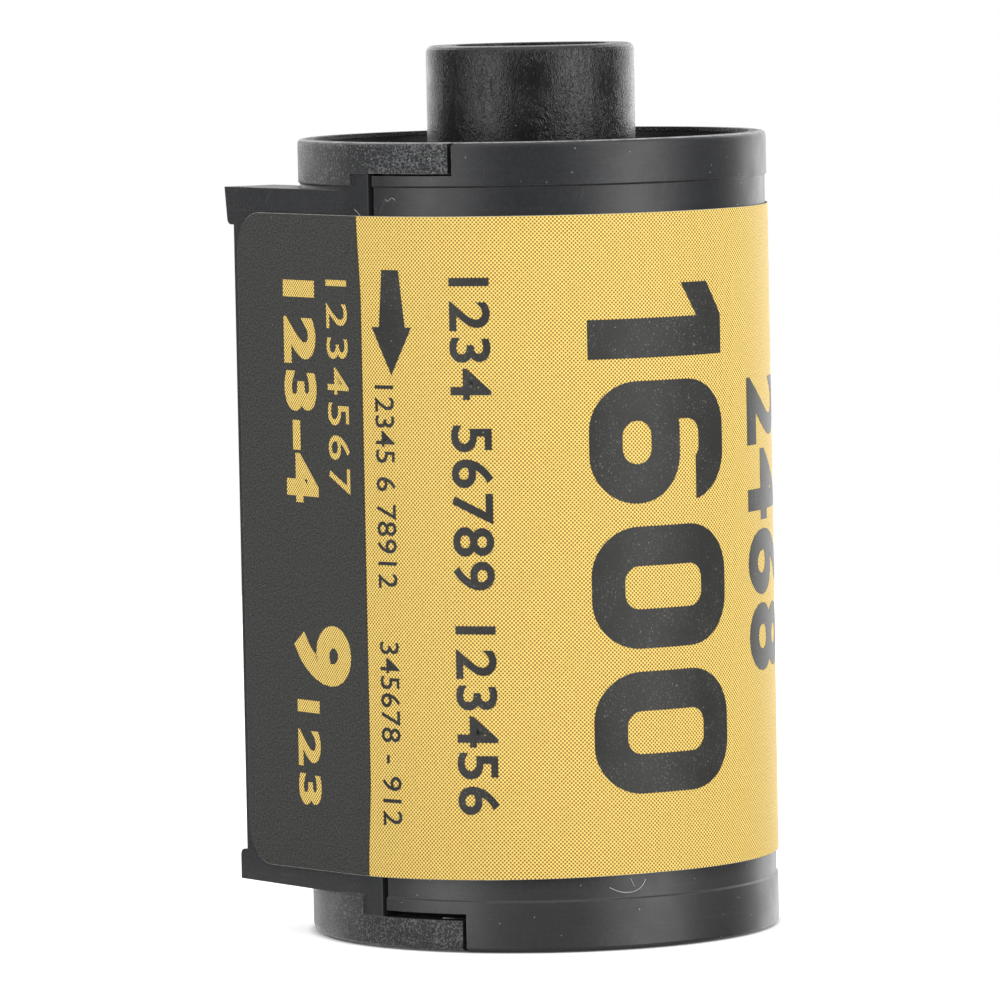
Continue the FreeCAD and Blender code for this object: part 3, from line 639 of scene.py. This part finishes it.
@dataclass(frozen=True)
class AnchorTape(Finish):
    """Cream crêpe tape that holds the film to the core."""

    shade: Colour = (0.50, 0.40, 0.22)
    light: Colour = (0.68, 0.58, 0.36)

    def paint(self, graph: Graph, where) -> None:
        """Add the tape's nodes."""
        crease = graph.noise(graph.scaled(where, (4.0, 4.0, 0.6)), 1.0, 3.0, 0.6)
        surface(graph, Base_Color=graph.mix(crease, self.shade, self.light), Roughness=0.6,
                Normal=graph.bump(crease, 0.03), Specular_IOR_Level=0.4)


@dataclass(frozen=True)
class SilverInk(Finish):
    """Conductive silver patches, lightly scuffed."""

    shade: Colour = (0.200, 0.200, 0.198)
    light: Colour = (0.300, 0.300, 0.294)
    dull: Colour = (0.130, 0.130, 0.128)

    def paint(self, graph: Graph, where) -> None:
        """Add the metal's nodes."""
        scuff = graph.noise(graph.scaled(where, (2.0, 2.0, 9.0)), 1.0, 3.0, 0.7)
        patch = graph.step(graph.noise(where, 1.1, 3.0, 0.7), 0.58, 0.66)
        tone = graph.mix(patch, graph.mix(scuff, self.shade, self.light), self.dull)
        surface(graph, Base_Color=tone, Roughness=graph.step(scuff, 0.3, 0.7, 0.34, 0.52),
                Metallic=0.85, Normal=graph.bump(scuff, 0.003))


@dataclass(frozen=True)
class Lint(Finish):
    """Pale textile fibre."""

    shade: Colour = (0.36, 0.36, 0.34)
    light: Colour = (0.60, 0.59, 0.56)

    def paint(self, graph: Graph, where) -> None:
        """Add the fibre's nodes."""
        tone = graph.mix(graph.noise(where, 3.0, 2.0), self.shade, self.light)
        surface(graph, Base_Color=tone, Roughness=0.7)


@dataclass(frozen=True)
class Wrap:
    """The line that the label follows: along the outer lip, then round the barrel."""

    radius: float = 12.74

    def point(self, along: float, up: float, lift: float = 0.0) -> Vector:
        """Place of a point of the label.

        Args:
            along: Length from the tangent line, negative on the lip, in millimetres.
            up: Height in millimetres.
            lift: Distance above the label's face in millimetres.

        Returns:
            The place in metres.
        """
        reach = self.radius + lift
        if along <= 0.0:
            return Vector((along, -reach, up)) * MM
        turn = along / self.radius
        return Vector((reach * math.sin(turn), -reach * math.cos(turn), up)) * MM

    def cockle(self, along: float, up: float) -> float:
        """Small waves of the paper in millimetres."""
        return 0.006 * noise.noise(Vector((along * 0.22, up * 0.16, 0.0)))


def finished_object(name: str, mesh: bpy.types.Mesh, materials: list) -> bpy.types.Object:
    """Link a mesh as an object at the origin.

    Args:
        name: Name of the piece.
        mesh: Its mesh, already in place.
        materials: Materials of its slots.

    Returns:
        The new object.
    """
    made = bpy.data.objects.new(name, mesh)
    bpy.context.scene.collection.objects.link(made)
    for material in materials:
        mesh.materials.append(material)
    return made


def baked(made: bpy.types.Object) -> bpy.types.Mesh:
    """The evaluated mesh of an object, as plain data."""
    graph = bpy.context.evaluated_depsgraph_get()
    graph.update()
    return bpy.data.meshes.new_from_object(made.evaluated_get(graph))


def shaped(name: str, curve: bpy.types.Curve) -> bpy.types.Mesh:
    """The mesh of a curve or a text, as plain data."""
    draft = bpy.data.objects.new(f"{name}_draft", curve)
    bpy.context.scene.collection.objects.link(draft)
    mesh = baked(draft)
    bpy.data.objects.remove(draft)
    return mesh


def settled(shape: bmesh.types.BMesh, name: str) -> bpy.types.Mesh:
    """Turn a shape into a named mesh and free it."""
    mesh = bpy.data.meshes.new(name)
    shape.to_mesh(mesh)
    shape.free()
    return mesh


def growth(name: str, values: dict) -> tuple[bpy.types.GeometryNodeTree, Graph]:
    """Make a tree of geometry nodes that has only its inputs and its output yet.

    Args:
        name: Name of the tree.
        values: Inputs by name, whole numbers or lengths.

    Returns:
        The tree, and its graph.
    """
    tree = bpy.data.node_groups.new(name, "GeometryNodeTree")
    tree.interface.new_socket("Geometry", in_out="INPUT", socket_type="NodeSocketGeometry")
    for label, value in values.items():
        kind = "Int" if isinstance(value, int) else "Float"
        tree.interface.new_socket(label, in_out="INPUT", socket_type=f"NodeSocket{kind}")
    tree.interface.new_socket("Geometry", in_out="OUTPUT", socket_type="NodeSocketGeometry")
    return tree, Graph(tree)


def end_growth(graph: Graph, parts, material: bpy.types.Material) -> None:
    """End a tree: make the instances real and give everything its material."""
    solid = graph.add("GeometryNodeRealizeInstances", {0: parts})
    dressed = graph.add("GeometryNodeSetMaterial", {"Geometry": solid.outputs[0], "Material": material})
    graph.add("NodeGroupOutput", {0: dressed.outputs[0]})


def grown(draft: bpy.types.Object, tree: bpy.types.GeometryNodeTree, values: dict) -> bpy.types.Mesh:
    """Run geometry nodes on an object, keep the result as plain data and remove the object.

    Args:
        draft: Object to grow from.
        tree: Node tree to run.
        values: Inputs of the tree by name.

    Returns:
        The mesh.
    """
    modifier = draft.modifiers.new("grow", "NODES")
    modifier.node_group = tree
    for item in tree.interface.items_tree:
        if item.name in values and item.in_out == "INPUT":
            modifier[item.identifier] = values[item.name]
    mesh = baked(draft)
    bpy.data.objects.remove(draft)
    return mesh


@dataclass
class Label:
    """Paper label: its sheet, and a way to lay print on it."""

    wrap: Wrap
    lip_end: float = -9.87
    turn: float = 285.0
    low: float = 3.65
    low_rise: float = 0.0135
    low_most: float = 4.03
    high: float = 39.2
    corner: float = 2.1
    thickness: float = 0.12
    bevel: float = 0.022
    glue: float = 0.008
    corner_steps: int = 10
    lip_steps: int = 18
    barrel_steps: int = 150
    rows: int = 44
    print_step: float = 0.45

    def columns(self) -> list[float]:
        """Places of the mesh's columns along the label."""
        inner = self.lip_end + self.corner
        length = self.wrap.radius * math.radians(self.turn)
        turns = [math.radians(90.0 * k / self.corner_steps) for k in range(self.corner_steps + 1)]
        steps = [self.lip_end + self.corner * (1.0 - math.cos(turn)) for turn in turns]
        steps += [inner - inner * k / self.lip_steps for k in range(1, self.lip_steps + 1)]
        return steps + [length * k / self.barrel_steps for k in range(1, self.barrel_steps + 1)]

    def limits(self, along: float) -> tuple[float, float]:
        """Lower and upper edge of the label at a column."""
        short = self.lip_end + self.corner - along
        cut = 0.0
        if short > 0.0:
            cut = self.corner - math.sqrt(max(self.corner**2 - short**2, 0.0))
        low = min(self.low + self.low_rise * (along - self.lip_end), self.low_most)
        return low + cut, self.high - cut

    def sheet(self, paper: bpy.types.Material, edge: bpy.types.Material) -> bpy.types.Object:
        """Build the paper as a closed thin sheet with a worn outer edge.

        Args:
            paper: Material of the printed face.
            edge: Material of the cut edges and the back.

        Returns:
            The piece.
        """
        mesh = bmesh.new()
        chart = mesh.loops.layers.uv.new(SHEET_MAP)
        columns = self.columns()
        last = len(columns) - 1

        def layer(depth: float, inset: float) -> list[list[bmesh.types.BMVert]]:
            grid = []
            for index, along in enumerate(columns):
                low, high = self.limits(along)
                shift = inset if index == 0 else -inset if index == last else 0.0
                line = []
                for row in range(self.rows + 1):
                    up = low + inset + (high - low - 2.0 * inset) * row / self.rows
                    lift = self.wrap.cockle(along, up) - depth
                    line.append(mesh.verts.new(self.wrap.point(along + shift, up, lift)))
                grid.append(line)
            return grid

        face = layer(0.0, self.bevel)
        back = layer(self.thickness - self.glue, 0.0)
        rim = self.rim_of(layer(self.bevel * 0.5, 0.0), mesh)
        spots = {}
        for index, along in enumerate(columns):
            for row in range(self.rows + 1):
                low, high = self.limits(along)
                spots[face[index][row]] = (along, low + (high - low) * row / self.rows)
        for index in range(last):
            for row in range(self.rows):
                beside, above = index + 1, row + 1
                corners = [face[index][row], face[beside][row], face[beside][above], face[index][above]]
                made = mesh.faces.new(corners)
                for loop in made.loops:
                    loop[chart].uv = spots[loop.vert]
                made.smooth = True
                corners = [back[index][row], back[index][above], back[beside][above], back[beside][row]]
                mesh.faces.new(corners).material_index = 1
        outline = self.border_of(face)
        for k, vert in enumerate(outline):
            mesh.edges.get((vert, outline[(k + 1) % len(outline)])).smooth = False
        for upper, lower in ((outline, rim), (rim, self.border_of(back))):
            count = len(upper)
            for k in range(count):
                n = (k + 1) % count
                mesh.faces.new([upper[k], lower[k], lower[n], upper[n]]).material_index = 1
        bmesh.ops.recalc_face_normals(mesh, faces=mesh.faces)
        return finished_object("label_sheet", settled(mesh, "label_sheet"), [paper, edge])

    @staticmethod
    def border_of(grid: list[list]) -> list:
        """The outline of a grid of vertices, in order."""
        foot = [line[0] for line in grid]
        end = grid[-1][1:]
        head = [line[-1] for line in reversed(grid[:-1])]
        start = list(reversed(grid[0][1:-1]))
        return foot + end + head + start

    def rim_of(self, grid: list[list], mesh: bmesh.types.BMesh) -> list:
        """Keep only the outline of a grid of vertices and delete the rest."""
        outline = self.border_of(grid)
        kept = set(outline)
        for line in grid:
            for vert in line:
                if vert not in kept:
                    mesh.verts.remove(vert)
        return outline

    def onto(self, mesh: bpy.types.Mesh, name: str, material: bpy.types.Material) -> bpy.types.Object:
        """Wrap a flat mesh onto the label.

        Args:
            mesh: Flat mesh with x along the label, y up and z out of the paper, in millimetres.
            name: Name of the piece.
            material: Its finish.

        Returns:
            The piece.
        """
        shape = bmesh.new()
        shape.from_mesh(mesh)
        bmesh.ops.remove_doubles(shape, verts=shape.verts, dist=1e-5)
        left = min(v.co.x for v in shape.verts)
        right = max(v.co.x for v in shape.verts)
        for k in range(1, int((right - left) / self.print_step) + 1):
            parts = shape.verts[:] + shape.edges[:] + shape.faces[:]
            cut = (left + k * self.print_step, 0, 0)
            bmesh.ops.bisect_plane(shape, geom=parts, plane_co=cut, plane_no=(1, 0, 0))
        chart = shape.loops.layers.uv.new(SHEET_MAP)
        for face in shape.faces:
            face.material_index = 0
            for loop in face.loops:
                loop[chart].uv = loop.vert.co.xy
        for vert in shape.verts:
            along, up, out = vert.co
            vert.co = self.wrap.point(along, up, self.wrap.cockle(along, up) + out)
        bmesh.ops.triangulate(shape, faces=shape.faces)
        return finished_object(name, settled(shape, name), [material])


@dataclass(frozen=True)
class PrintedLine:
    """One line of plain figures, read down the label."""

    name: str
    figures: str
    foot: float
    cap: float
    start: float
    length: float
    weight: float = 0.0
    space: float = 1.0
    ink: Ink = Ink.DARK

    def flat(self) -> bpy.types.Mesh:
        """Draw the figures flat, turned to read down the label: x along it and y up, in millimetres."""
        half = 0.01
        curve = bpy.data.curves.new(self.name, "FONT")
        curve.body = self.figures
        curve.space_character = self.space
        curve.offset = self.weight
        curve.extrude = half
        curve.resolution_u = 5
        mesh = shaped(self.name, curve)
        places = [v.co for v in mesh.vertices]
        x0, x1 = min(p.x for p in places), max(p.x for p in places)
        y0, y1 = min(p.y for p in places), max(p.y for p in places)
        for vert in mesh.vertices:
            x, y, z = vert.co
            vert.co = (
                self.foot + (y - y0) / (y1 - y0) * self.cap,
                self.start - (x - x0) / (x1 - x0) * self.length,
                INK_GAP + INK * (z + half) / (2.0 * half),
            )
        return mesh


LINES = (
    PrintedLine("print_middle_line", "1234 56789 123456", 7.38, 2.31, 35.95, 28.57, 0.017, 1.08),
    PrintedLine("print_fine_line", "12345 6 78912     345678 - 912", 2.62, 1.32, 30.2, 23.55, 0.004, 1.05),
    PrintedLine("print_side_line", "2468", 25.8, 6.0, 30.0, 15.9, 0.030, 1.10),
    PrintedLine("panel_thin_line", "1234567", -1.45, 1.98, 35.73, 11.5, 0.004, 1.15, Ink.OPEN),
    PrintedLine("panel_bold_line", "123-4", -5.55, 3.05, 35.63, 12.0, 0.045, 1.15, Ink.OPEN),
    PrintedLine("panel_large_figure", "9", -5.15, 5.4, 17.1, 3.3, 0.045, ink=Ink.OPEN),
    PrintedLine("panel_small_line", "123", -4.97, 2.15, 12.93, 5.7, 0.035, 1.15, Ink.OPEN),
)


@dataclass(frozen=True)
class ArrowMark:
    """Plain arrow that shows which way to read the label."""

    name: str = "print_arrow"
    left: float = 2.50
    right: float = 5.15
    head: float = 36.35
    foot: float = 30.75
    shaft: float = 0.42
    barb: float = 2.55

    def flat(self) -> bpy.types.Mesh:
        """Draw the arrow flat: x along the label and y up, in millimetres."""
        middle = (self.left + self.right) / 2.0
        half = (self.right - self.left) * self.shaft / 2.0
        neck = self.foot + self.barb
        outline = (
            (middle - half, self.head), (middle + half, self.head), (middle + half, neck),
            (self.right, neck), (middle, self.foot), (self.left, neck), (middle - half, neck),
        )
        shape = bmesh.new()
        face = shape.faces.new([shape.verts.new((x, y, INK_GAP)) for x, y in outline])
        raised = bmesh.ops.extrude_face_region(shape, geom=[face])["geom"]
        for item in raised:
            if isinstance(item, bmesh.types.BMVert):
                item.co.z += INK
        bmesh.ops.recalc_face_normals(shape, faces=shape.faces)
        return settled(shape, self.name)


@dataclass(frozen=True)
class ContactPatches:
    """Block of bare metal patches that a camera feels for, on the side away from the mouth."""

    name: str = "contact_patches"
    middle: float = 45.0
    level: float = 21.6
    columns: int = 2
    rows: int = 6
    across: float = 6.1
    up: float = 5.0
    patch: tuple[float, float] = (5.1, 4.1)
    margin: float = 0.45
    above_ground: float = 0.006
    share: float = 0.7
    seed: int = 4

    def settings(self) -> dict[str, int | float]:
        """Inputs of the geometry nodes by name."""
        return {"Columns": self.columns, "Rows": self.rows, "Pitch Across": self.across, "Pitch Up": self.up,
                "Patch Width": self.patch[0], "Patch Height": self.patch[1], "Seed": self.seed}

    def tree(self) -> bpy.types.GeometryNodeTree:
        """Geometry nodes that lay the patches out in a grid and leave some of them out."""
        tree, graph = growth(f"{self.name}_nodes", self.settings())
        given = graph.add("NodeGroupInput").outputs
        wide = graph.times(given["Pitch Across"], graph.minus(given["Columns"], 1.0))
        tall = graph.times(given["Pitch Up"], graph.minus(given["Rows"], 1.0))
        grid = graph.add("GeometryNodeMeshGrid", {
            "Size X": wide, "Size Y": tall, "Vertices X": given["Columns"], "Vertices Y": given["Rows"]})
        size = graph.add("ShaderNodeCombineXYZ", {
            0: given["Patch Width"], 1: given["Patch Height"], 2: INK})
        plate = graph.add("GeometryNodeMeshCube", {"Size": size.outputs[0]}).outputs["Mesh"]
        picked = {"Probability": self.share, "Seed": given["Seed"]}
        bare = graph.add("FunctionNodeRandomValue", picked, data_type="BOOLEAN")
        laid = graph.add("GeometryNodeInstanceOnPoints", {
            "Points": grid.outputs["Mesh"], "Selection": bare.outputs[3], "Instance": plate})
        end_growth(graph, laid.outputs[0], SilverInk("contact_metal").material())
        return tree

    def flat(self) -> bpy.types.Mesh:
        """Lay the patches out flat: x along the label and y up, in millimetres."""
        draft = finished_object(f"{self.name}_draft", bpy.data.meshes.new(self.name), [])
        mesh = grown(draft, self.tree(), self.settings())
        centre = self.above_ground + INK * 1.5
        mesh.transform(Matrix.Translation((self.middle, self.level, centre)))
        return mesh

    def ground(self) -> bpy.types.Mesh:
        """The dark field under the patches, flat."""
        wide = self.across * self.columns + 2.0 * self.margin
        tall = self.up * self.rows + 2.0 * self.margin
        shape = bmesh.new()
        bmesh.ops.create_cube(shape, size=1.0)
        for vert in shape.verts:
            x, y, z = vert.co
            vert.co = (self.middle + wide * x, self.level + tall * y, INK_GAP + INK * (z + 0.5))
        return settled(shape, f"{self.name}_ground")


@dataclass(frozen=True)
class Fibre:
    """A stray fibre that lies on the cartridge: its route along and up the barrel, and its thickness."""

    name: str
    route: tuple[tuple[float, float], ...]
    lift: float
    radius: float = 0.022

    def build(self, wrap: Wrap, material: bpy.types.Material) -> bpy.types.Object:
        """Build the fibre as a thin tube.

        Args:
            wrap: Line that the label follows.
            material: Finish of the fibre.

        Returns:
            The piece.
        """
        curve = bpy.data.curves.new(self.name, "CURVE")
        curve.dimensions = "3D"
        curve.bevel_depth = self.radius * MM
        curve.resolution_u = 8
        spline = curve.splines.new("NURBS")
        spline.points.add(len(self.route) - 1)
        for point, (along, up) in zip(spline.points, self.route):
            point.co = (*wrap.point(along, up, self.lift), 1.0)
        spline.order_u = 3
        spline.use_endpoint_u = True
        return finished_object(self.name, shaped(self.name, curve), [material])


FIBRES = (
    Fibre("lint_fibre", (
        (15.50, 3.38), (15.95, 3.14), (16.50, 3.04), (17.05, 3.12), (17.45, 3.40), (17.58, 3.72)), -0.10),
    Fibre("lint_short", ((16.72, 3.80), (16.80, 3.58), (16.93, 3.36)), -0.10, 0.016),
    Fibre("lint_corner", ((1.35, 39.55), (1.60, 39.40), (1.78, 39.22), (1.95, 39.02)), 0.02, 0.011),
    Fibre("lint_band", (
        (3.55, 40.10), (3.72, 39.95), (3.85, 40.12), (4.05, 40.20), (4.20, 40.05)), -0.12, 0.010),
)


@dataclass
class LightTrap:
    """A velvet strip: woven backing with a dense pile on its inner face."""

    node: str
    outward: float
    backing: float = 0.30
    density: float = 46.0
    fibre: float = 0.055
    lean: float = 0.42
    sizes: Span = (0.72, 0.96)
    seed: int = 3

    def settings(self) -> dict[str, float]:
        """Inputs of the geometry nodes by name."""
        low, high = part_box(self.node)
        length = (high.y - low.y) - self.backing * MM
        return {"Density": self.density / MM**2, "Fibre Length": length, "Fibre Width": self.fibre * MM}

    def backing_mesh(self) -> bpy.types.Mesh:
        """Closed strip of the woven backing, in the place of the CAD strip's glued side."""
        low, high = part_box(self.node)
        low, high = Vector(low), Vector(high)
        if self.outward > 0:
            high.y = low.y + self.backing * MM
        else:
            low.y = high.y - self.backing * MM
        mesh = bmesh.new()
        bmesh.ops.create_cube(mesh, size=1.0)
        for vert in mesh.verts:
            vert.co = Vector(low[k] + (high[k] - low[k]) * (vert.co[k] + 0.5) for k in range(3))
        bmesh.ops.subdivide_edges(mesh, edges=mesh.edges, cuts=6, use_grid_fill=True)
        return settled(mesh, f"{self.node}_pile")

    def tree(self, material: bpy.types.Material) -> bpy.types.GeometryNodeTree:
        """Geometry nodes that plant the pile on one face of the backing.

        Args:
            material: Finish of backing and pile.

        Returns:
            The node tree.
        """
        tree, graph = growth(f"{self.node}_pile_nodes", self.settings())
        given = graph.add("NodeGroupInput").outputs
        normal = graph.add("GeometryNodeInputNormal").outputs[0]
        facing = graph.vector("DOT_PRODUCT", normal, (0.0, self.outward, 0.0)).outputs["Value"]
        chosen = graph.math("GREATER_THAN", facing, 0.5)
        spread = graph.add("GeometryNodeDistributePointsOnFaces", {
            "Mesh": given["Geometry"], "Selection": chosen, "Density": given["Density"], "Seed": self.seed})
        swing = {0: (-self.lean,) * 3, 1: (self.lean,) * 3, "Seed": self.seed}
        lean = graph.add("FunctionNodeRandomValue", swing, data_type="FLOAT_VECTOR").outputs[0]
        way = graph.vector("ADD", lean, spread.outputs["Normal"]).outputs[0]
        turn = graph.add("FunctionNodeAlignRotationToVector", {"Vector": way}, axis="Z").outputs[0]
        hair = graph.add("GeometryNodeMeshCone", {
            "Vertices": 4, "Radius Top": 0.0, "Radius Bottom": given["Fibre Width"],
            "Depth": given["Fibre Length"]}).outputs["Mesh"]
        sizes = {2: self.sizes[0], 3: self.sizes[1], "Seed": self.seed + 1}
        size = graph.add("FunctionNodeRandomValue", sizes, data_type="FLOAT")
        planted = graph.add("GeometryNodeInstanceOnPoints", {
            "Points": spread.outputs["Points"], "Instance": hair, "Rotation": turn, "Scale": size.outputs[1]})
        both = graph.add("GeometryNodeJoinGeometry")
        tree.links.new(given["Geometry"], both.inputs[0])
        tree.links.new(planted.outputs[0], both.inputs[0])
        end_growth(graph, both.outputs[0], material)
        return tree

    def build(self, material: bpy.types.Material) -> bpy.types.Object:
        """Build the strip and put it in its node's place.

        Args:
            material: Velvet finish.

        Returns:
            The piece.
        """
        draft = finished_object(f"{self.node}_draft", self.backing_mesh(), [material])
        mesh = grown(draft, self.tree(material), self.settings())
        made = bpy.data.objects.new(f"{self.node}_velvet", mesh)
        bpy.context.scene.collection.objects.link(made)
        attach(made, CASSETTE)
        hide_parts(self.node)
        return made


@dataclass
class Cartridge:
    """The whole object: shells, reel, light traps, label and what lies on them."""

    wrap: Wrap

    def dress_plastic(self) -> None:
        """Give both shells and the spool their moulded plastic."""
        finishes = {
            # The gate shell's shade is lighter than the back shell's, as painted light on its granular
            # surface.
            "gate_shell": MouldedPlastic(
                "gate_plastic", Grain.SPARKED, shade=(0.0165, 0.0173, 0.0190), gloss=0.41, grain_size=0.12,
                grain_depth=0.110, painted_arm_light=0.16),
            "back_shell": MouldedPlastic("back_plastic", Grain.SATIN, gloss=0.40, grain_depth=0.016),
            "spool": MouldedPlastic(
                "spool_plastic", Grain.LEATHER, shade=(0.0045, 0.0046, 0.0050), gloss=0.31, grain_size=0.18,
                grain_depth=0.033, crest=47.96, crest_radius=4.30, crest_highlight=0.20, edge=0.07,
                painted_glint=(0.075, 0.076, 0.080)),
        }
        for node, finish in finishes.items():
            self.dress(node, finish)

    def dress_reel(self) -> None:
        """Give the film and its tape their finish."""
        self.dress("film_roll", FilmStock("film_stock"))
        self.dress("film_anchor_tape", AnchorTape("anchor_tape"))

    def dress(self, node: str, finish) -> None:
        """Put a finish on a CAD node's own object.

        Args:
            node: Name of the node.
            finish: Finish with a material method.
        """
        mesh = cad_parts[node].data
        mesh.materials.clear()
        mesh.materials.append(finish.material())
        LOG.info("%s dressed as %s", node, finish.name)

    def build_traps(self) -> None:
        """Build the velvet of both light traps."""
        velvet = Velvet("velvet").material()
        for node, outward, seed in (("outer_light_trap", 1.0, 3), ("inner_light_trap", -1.0, 5)):
            made = LightTrap(node, outward, seed=seed).build(velvet)
            LOG.info("%s with %d faces", made.name, len(made.data.polygons))

    def build_label(self) -> None:
        """Build the paper and its print."""
        label = Label(self.wrap)
        sheet = label.sheet(PrintedPaper("label_paper").material(), CutPaper("label_cut").material())
        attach(sheet, CASSETTE)
        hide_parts("label", "label_dark_panel")
        ink = DarkInk("dark_ink")
        self.dress("label_figures", ink)
        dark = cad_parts["label_figures"].data.materials[0]
        light = PrintedPaper("open_field", open_only=True).material()
        for line in (*LINES, ArrowMark()):
            material = light if getattr(line, "ink", Ink.DARK) is Ink.OPEN else dark
            made = label.onto(line.flat(), line.name, material)
            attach(made, CASSETTE)
            LOG.info("%s with %d faces", made.name, len(made.data.polygons))
        patches = ContactPatches()
        metal = patches.flat()
        for mesh, name, material in ((patches.ground(), "contact_ground", dark),
                                     (metal, "contact_patches", metal.materials[0])):
            made = label.onto(mesh, name, material)
            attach(made, CASSETTE)
            LOG.info("%s with %d faces", made.name, len(made.data.polygons))

    def build_lint(self) -> None:
        """Lay the stray fibres on the shells and the label."""
        pale = Lint("lint").material()
        for fibre in FIBRES:
            made = fibre.build(self.wrap, pale)
            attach(made, CASSETTE)
            LOG.info("%s with %d faces", made.name, len(made.data.polygons))

    def build(self) -> None:
        """Build and dress everything in order."""
        self.dress_plastic()
        self.dress_reel()
        self.build_traps()
        self.build_label()
        self.build_lint()


@dataclass
class Studio:
    """Camera, lamps, floor and surroundings."""

    azimuth: float = 54.5
    elevation: float = 4.181
    roll: float = -1.130
    distance: float = 463.66
    centre: Place = (-2.090, 0.0, 23.25)
    lens: float = 306.79
    floor_radius: float = 0.22
    foot_shade: Span = (12.2, 13.2)
    even: float = 0.58

    def make_camera(self) -> None:
        """Put the camera where the photograph was taken from."""
        tilt, lean = math.radians(self.elevation), math.radians(self.roll)
        back = Vector((0.0, -math.cos(tilt), math.sin(tilt)))
        side = Vector((1.0, 0.0, 0.0))
        rise = back.cross(side)
        right = side * math.cos(lean) + rise * math.sin(lean)
        top = rise * math.cos(lean) - side * math.sin(lean)
        place = (Vector(self.centre) + back * self.distance) * MM
        turned = Matrix((right, top, back)).transposed().to_4x4()
        swing = Matrix.Rotation(math.radians(self.azimuth), 4, "Z")
        data = bpy.data.cameras.new("camera")
        data.lens = self.lens
        data.sensor_width = 36.0
        data.clip_start = 0.02
        data.clip_end = 20.0
        camera = bpy.data.objects.new("camera", data)
        camera.matrix_world = swing @ Matrix.Translation(place) @ turned
        bpy.context.scene.collection.objects.link(camera)
        bpy.context.scene.camera = camera

    def softbox(self, name: str, swing: float, height: float, away: float, width: float, tall: float,
                glow: float) -> None:
        """Put up a soft lamp that faces the object.

        Args:
            name: Name of the lamp.
            swing: Angle from the camera's direction, positive to the right of the picture.
            height: Height of its middle in metres.
            away: Distance from the axis in metres.
            width: Width in metres.
            tall: Height of the lamp in metres.
            glow: Radiance of its face, where 1 is white.
        """
        data = bpy.data.lights.new(name, "AREA")
        data.shape = "RECTANGLE"
        data.size, data.size_y = width, tall
        data.energy = glow * math.pi * width * tall
        angle = math.radians(self.azimuth + swing)
        lamp = bpy.data.objects.new(name, data)
        lamp.location = (away * math.sin(angle), -away * math.cos(angle), height)
        aim = Vector((0.0, 0.0, 0.022)) - lamp.location
        lamp.rotation_euler = aim.to_track_quat("-Z", "Y").to_euler()
        bpy.context.scene.collection.objects.link(lamp)

    def make_lamps(self) -> None:
        """A softbox each side of the camera, one each side behind the object, and a weaker one overhead."""
        self.softbox("left_softbox", -50.0, 0.08, 0.50, 0.30, 0.60, 2.1)
        self.softbox("right_softbox", 51.0, 0.08, 0.50, 0.32, 0.60, 2.8)
        self.softbox("left_rear_softbox", -156.0, 0.08, 0.50, 0.34, 0.60, 1.25)
        self.softbox("right_rear_softbox", 145.0, 0.08, 0.50, 0.40, 0.60, 1.7)
        self.softbox("top_softbox", 10.0, 0.60, 0.12, 0.50, 0.50, 0.6)

    def make_world(self) -> None:
        """White for the camera and behind the object, and dimmer round the camera."""
        world = bpy.data.worlds.new("surroundings")
        bpy.context.scene.world = world
        world.use_nodes = True
        world.node_tree.nodes.clear()
        graph = Graph(world.node_tree)
        angle = math.radians(self.azimuth)
        front = (math.sin(angle), -math.cos(angle), 0.0)
        way = graph.add("ShaderNodeTexCoord").outputs["Generated"]
        facing = graph.vector("DOT_PRODUCT", way, front).outputs["Value"]
        behind = graph.step(facing, -0.80, -0.45, 1.0, 0.0)
        dome = graph.step(graph.split(way)[2], 0.25, 0.9, 0.15, 0.70)
        rays = graph.add("ShaderNodeLightPath").outputs
        even = graph.times(rays["Is Diffuse Ray"], self.even)
        level = graph.most(dome, behind, even, rays["Is Camera Ray"], rays["Is Transmission Ray"])
        glow = graph.add("ShaderNodeBackground", {"Color": (1.0, 1.0, 1.0, 1.0), "Strength": level})
        graph.add("ShaderNodeOutputWorld", {"Surface": glow.outputs[0]})

    def make_floor(self) -> None:
        """Lay a pale round floor that keeps the object's shadow."""
        mesh = bmesh.new()
        bmesh.ops.create_circle(mesh, cap_ends=True, segments=96, radius=self.floor_radius)
        data = settled(mesh, "floor")
        data.transform(Matrix.Translation((0.0, 0.0, -0.00002)))
        material, graph = new_material("floor")
        grain = graph.noise(part_millimetres(graph), 0.4, 2.0)
        tone = graph.mix(grain, (0.80, 0.80, 0.80), (0.83, 0.83, 0.83))
        matt = graph.add("ShaderNodeBsdfDiffuse", {"Color": tone})
        radius = graph.vector("LENGTH", part_millimetres(graph)).outputs["Value"]
        clear = graph.step(radius, *self.foot_shade, 0.0, 0.62)
        glow = graph.add("ShaderNodeEmission", {"Color": (1.0, 1.0, 1.0, 1.0), "Strength": clear})
        both = graph.add("ShaderNodeAddShader", {0: matt.outputs[0], 1: glow.outputs[0]})
        rays = graph.add("ShaderNodeLightPath").outputs["Is Camera Ray"]
        shown = graph.add("ShaderNodeMixShader", {0: rays, 1: matt.outputs[0], 2: both.outputs[0]})
        graph.add("ShaderNodeOutputMaterial", {"Surface": shown.outputs[0]})
        floor = finished_object("floor", data, [material])
        floor.visible_glossy = False

    def build(self) -> None:
        """Set up the whole studio."""
        bpy.context.scene.view_settings.view_transform = "Standard"
        self.make_camera()
        self.make_lamps()
        self.make_world()
        self.make_floor()


def corners(box: tuple[Vector, Vector]) -> list[list[float]]:
    """A box as plain lists of numbers."""
    return [list(box[0]), list(box[1])]


def main() -> None:
    """Set up the studio and build the cartridge."""
    logging.basicConfig(level=logging.INFO, format="%(message)s")
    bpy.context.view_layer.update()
    Studio().build()
    Cartridge(Wrap()).build()


if __name__ == "__main__":
    main()
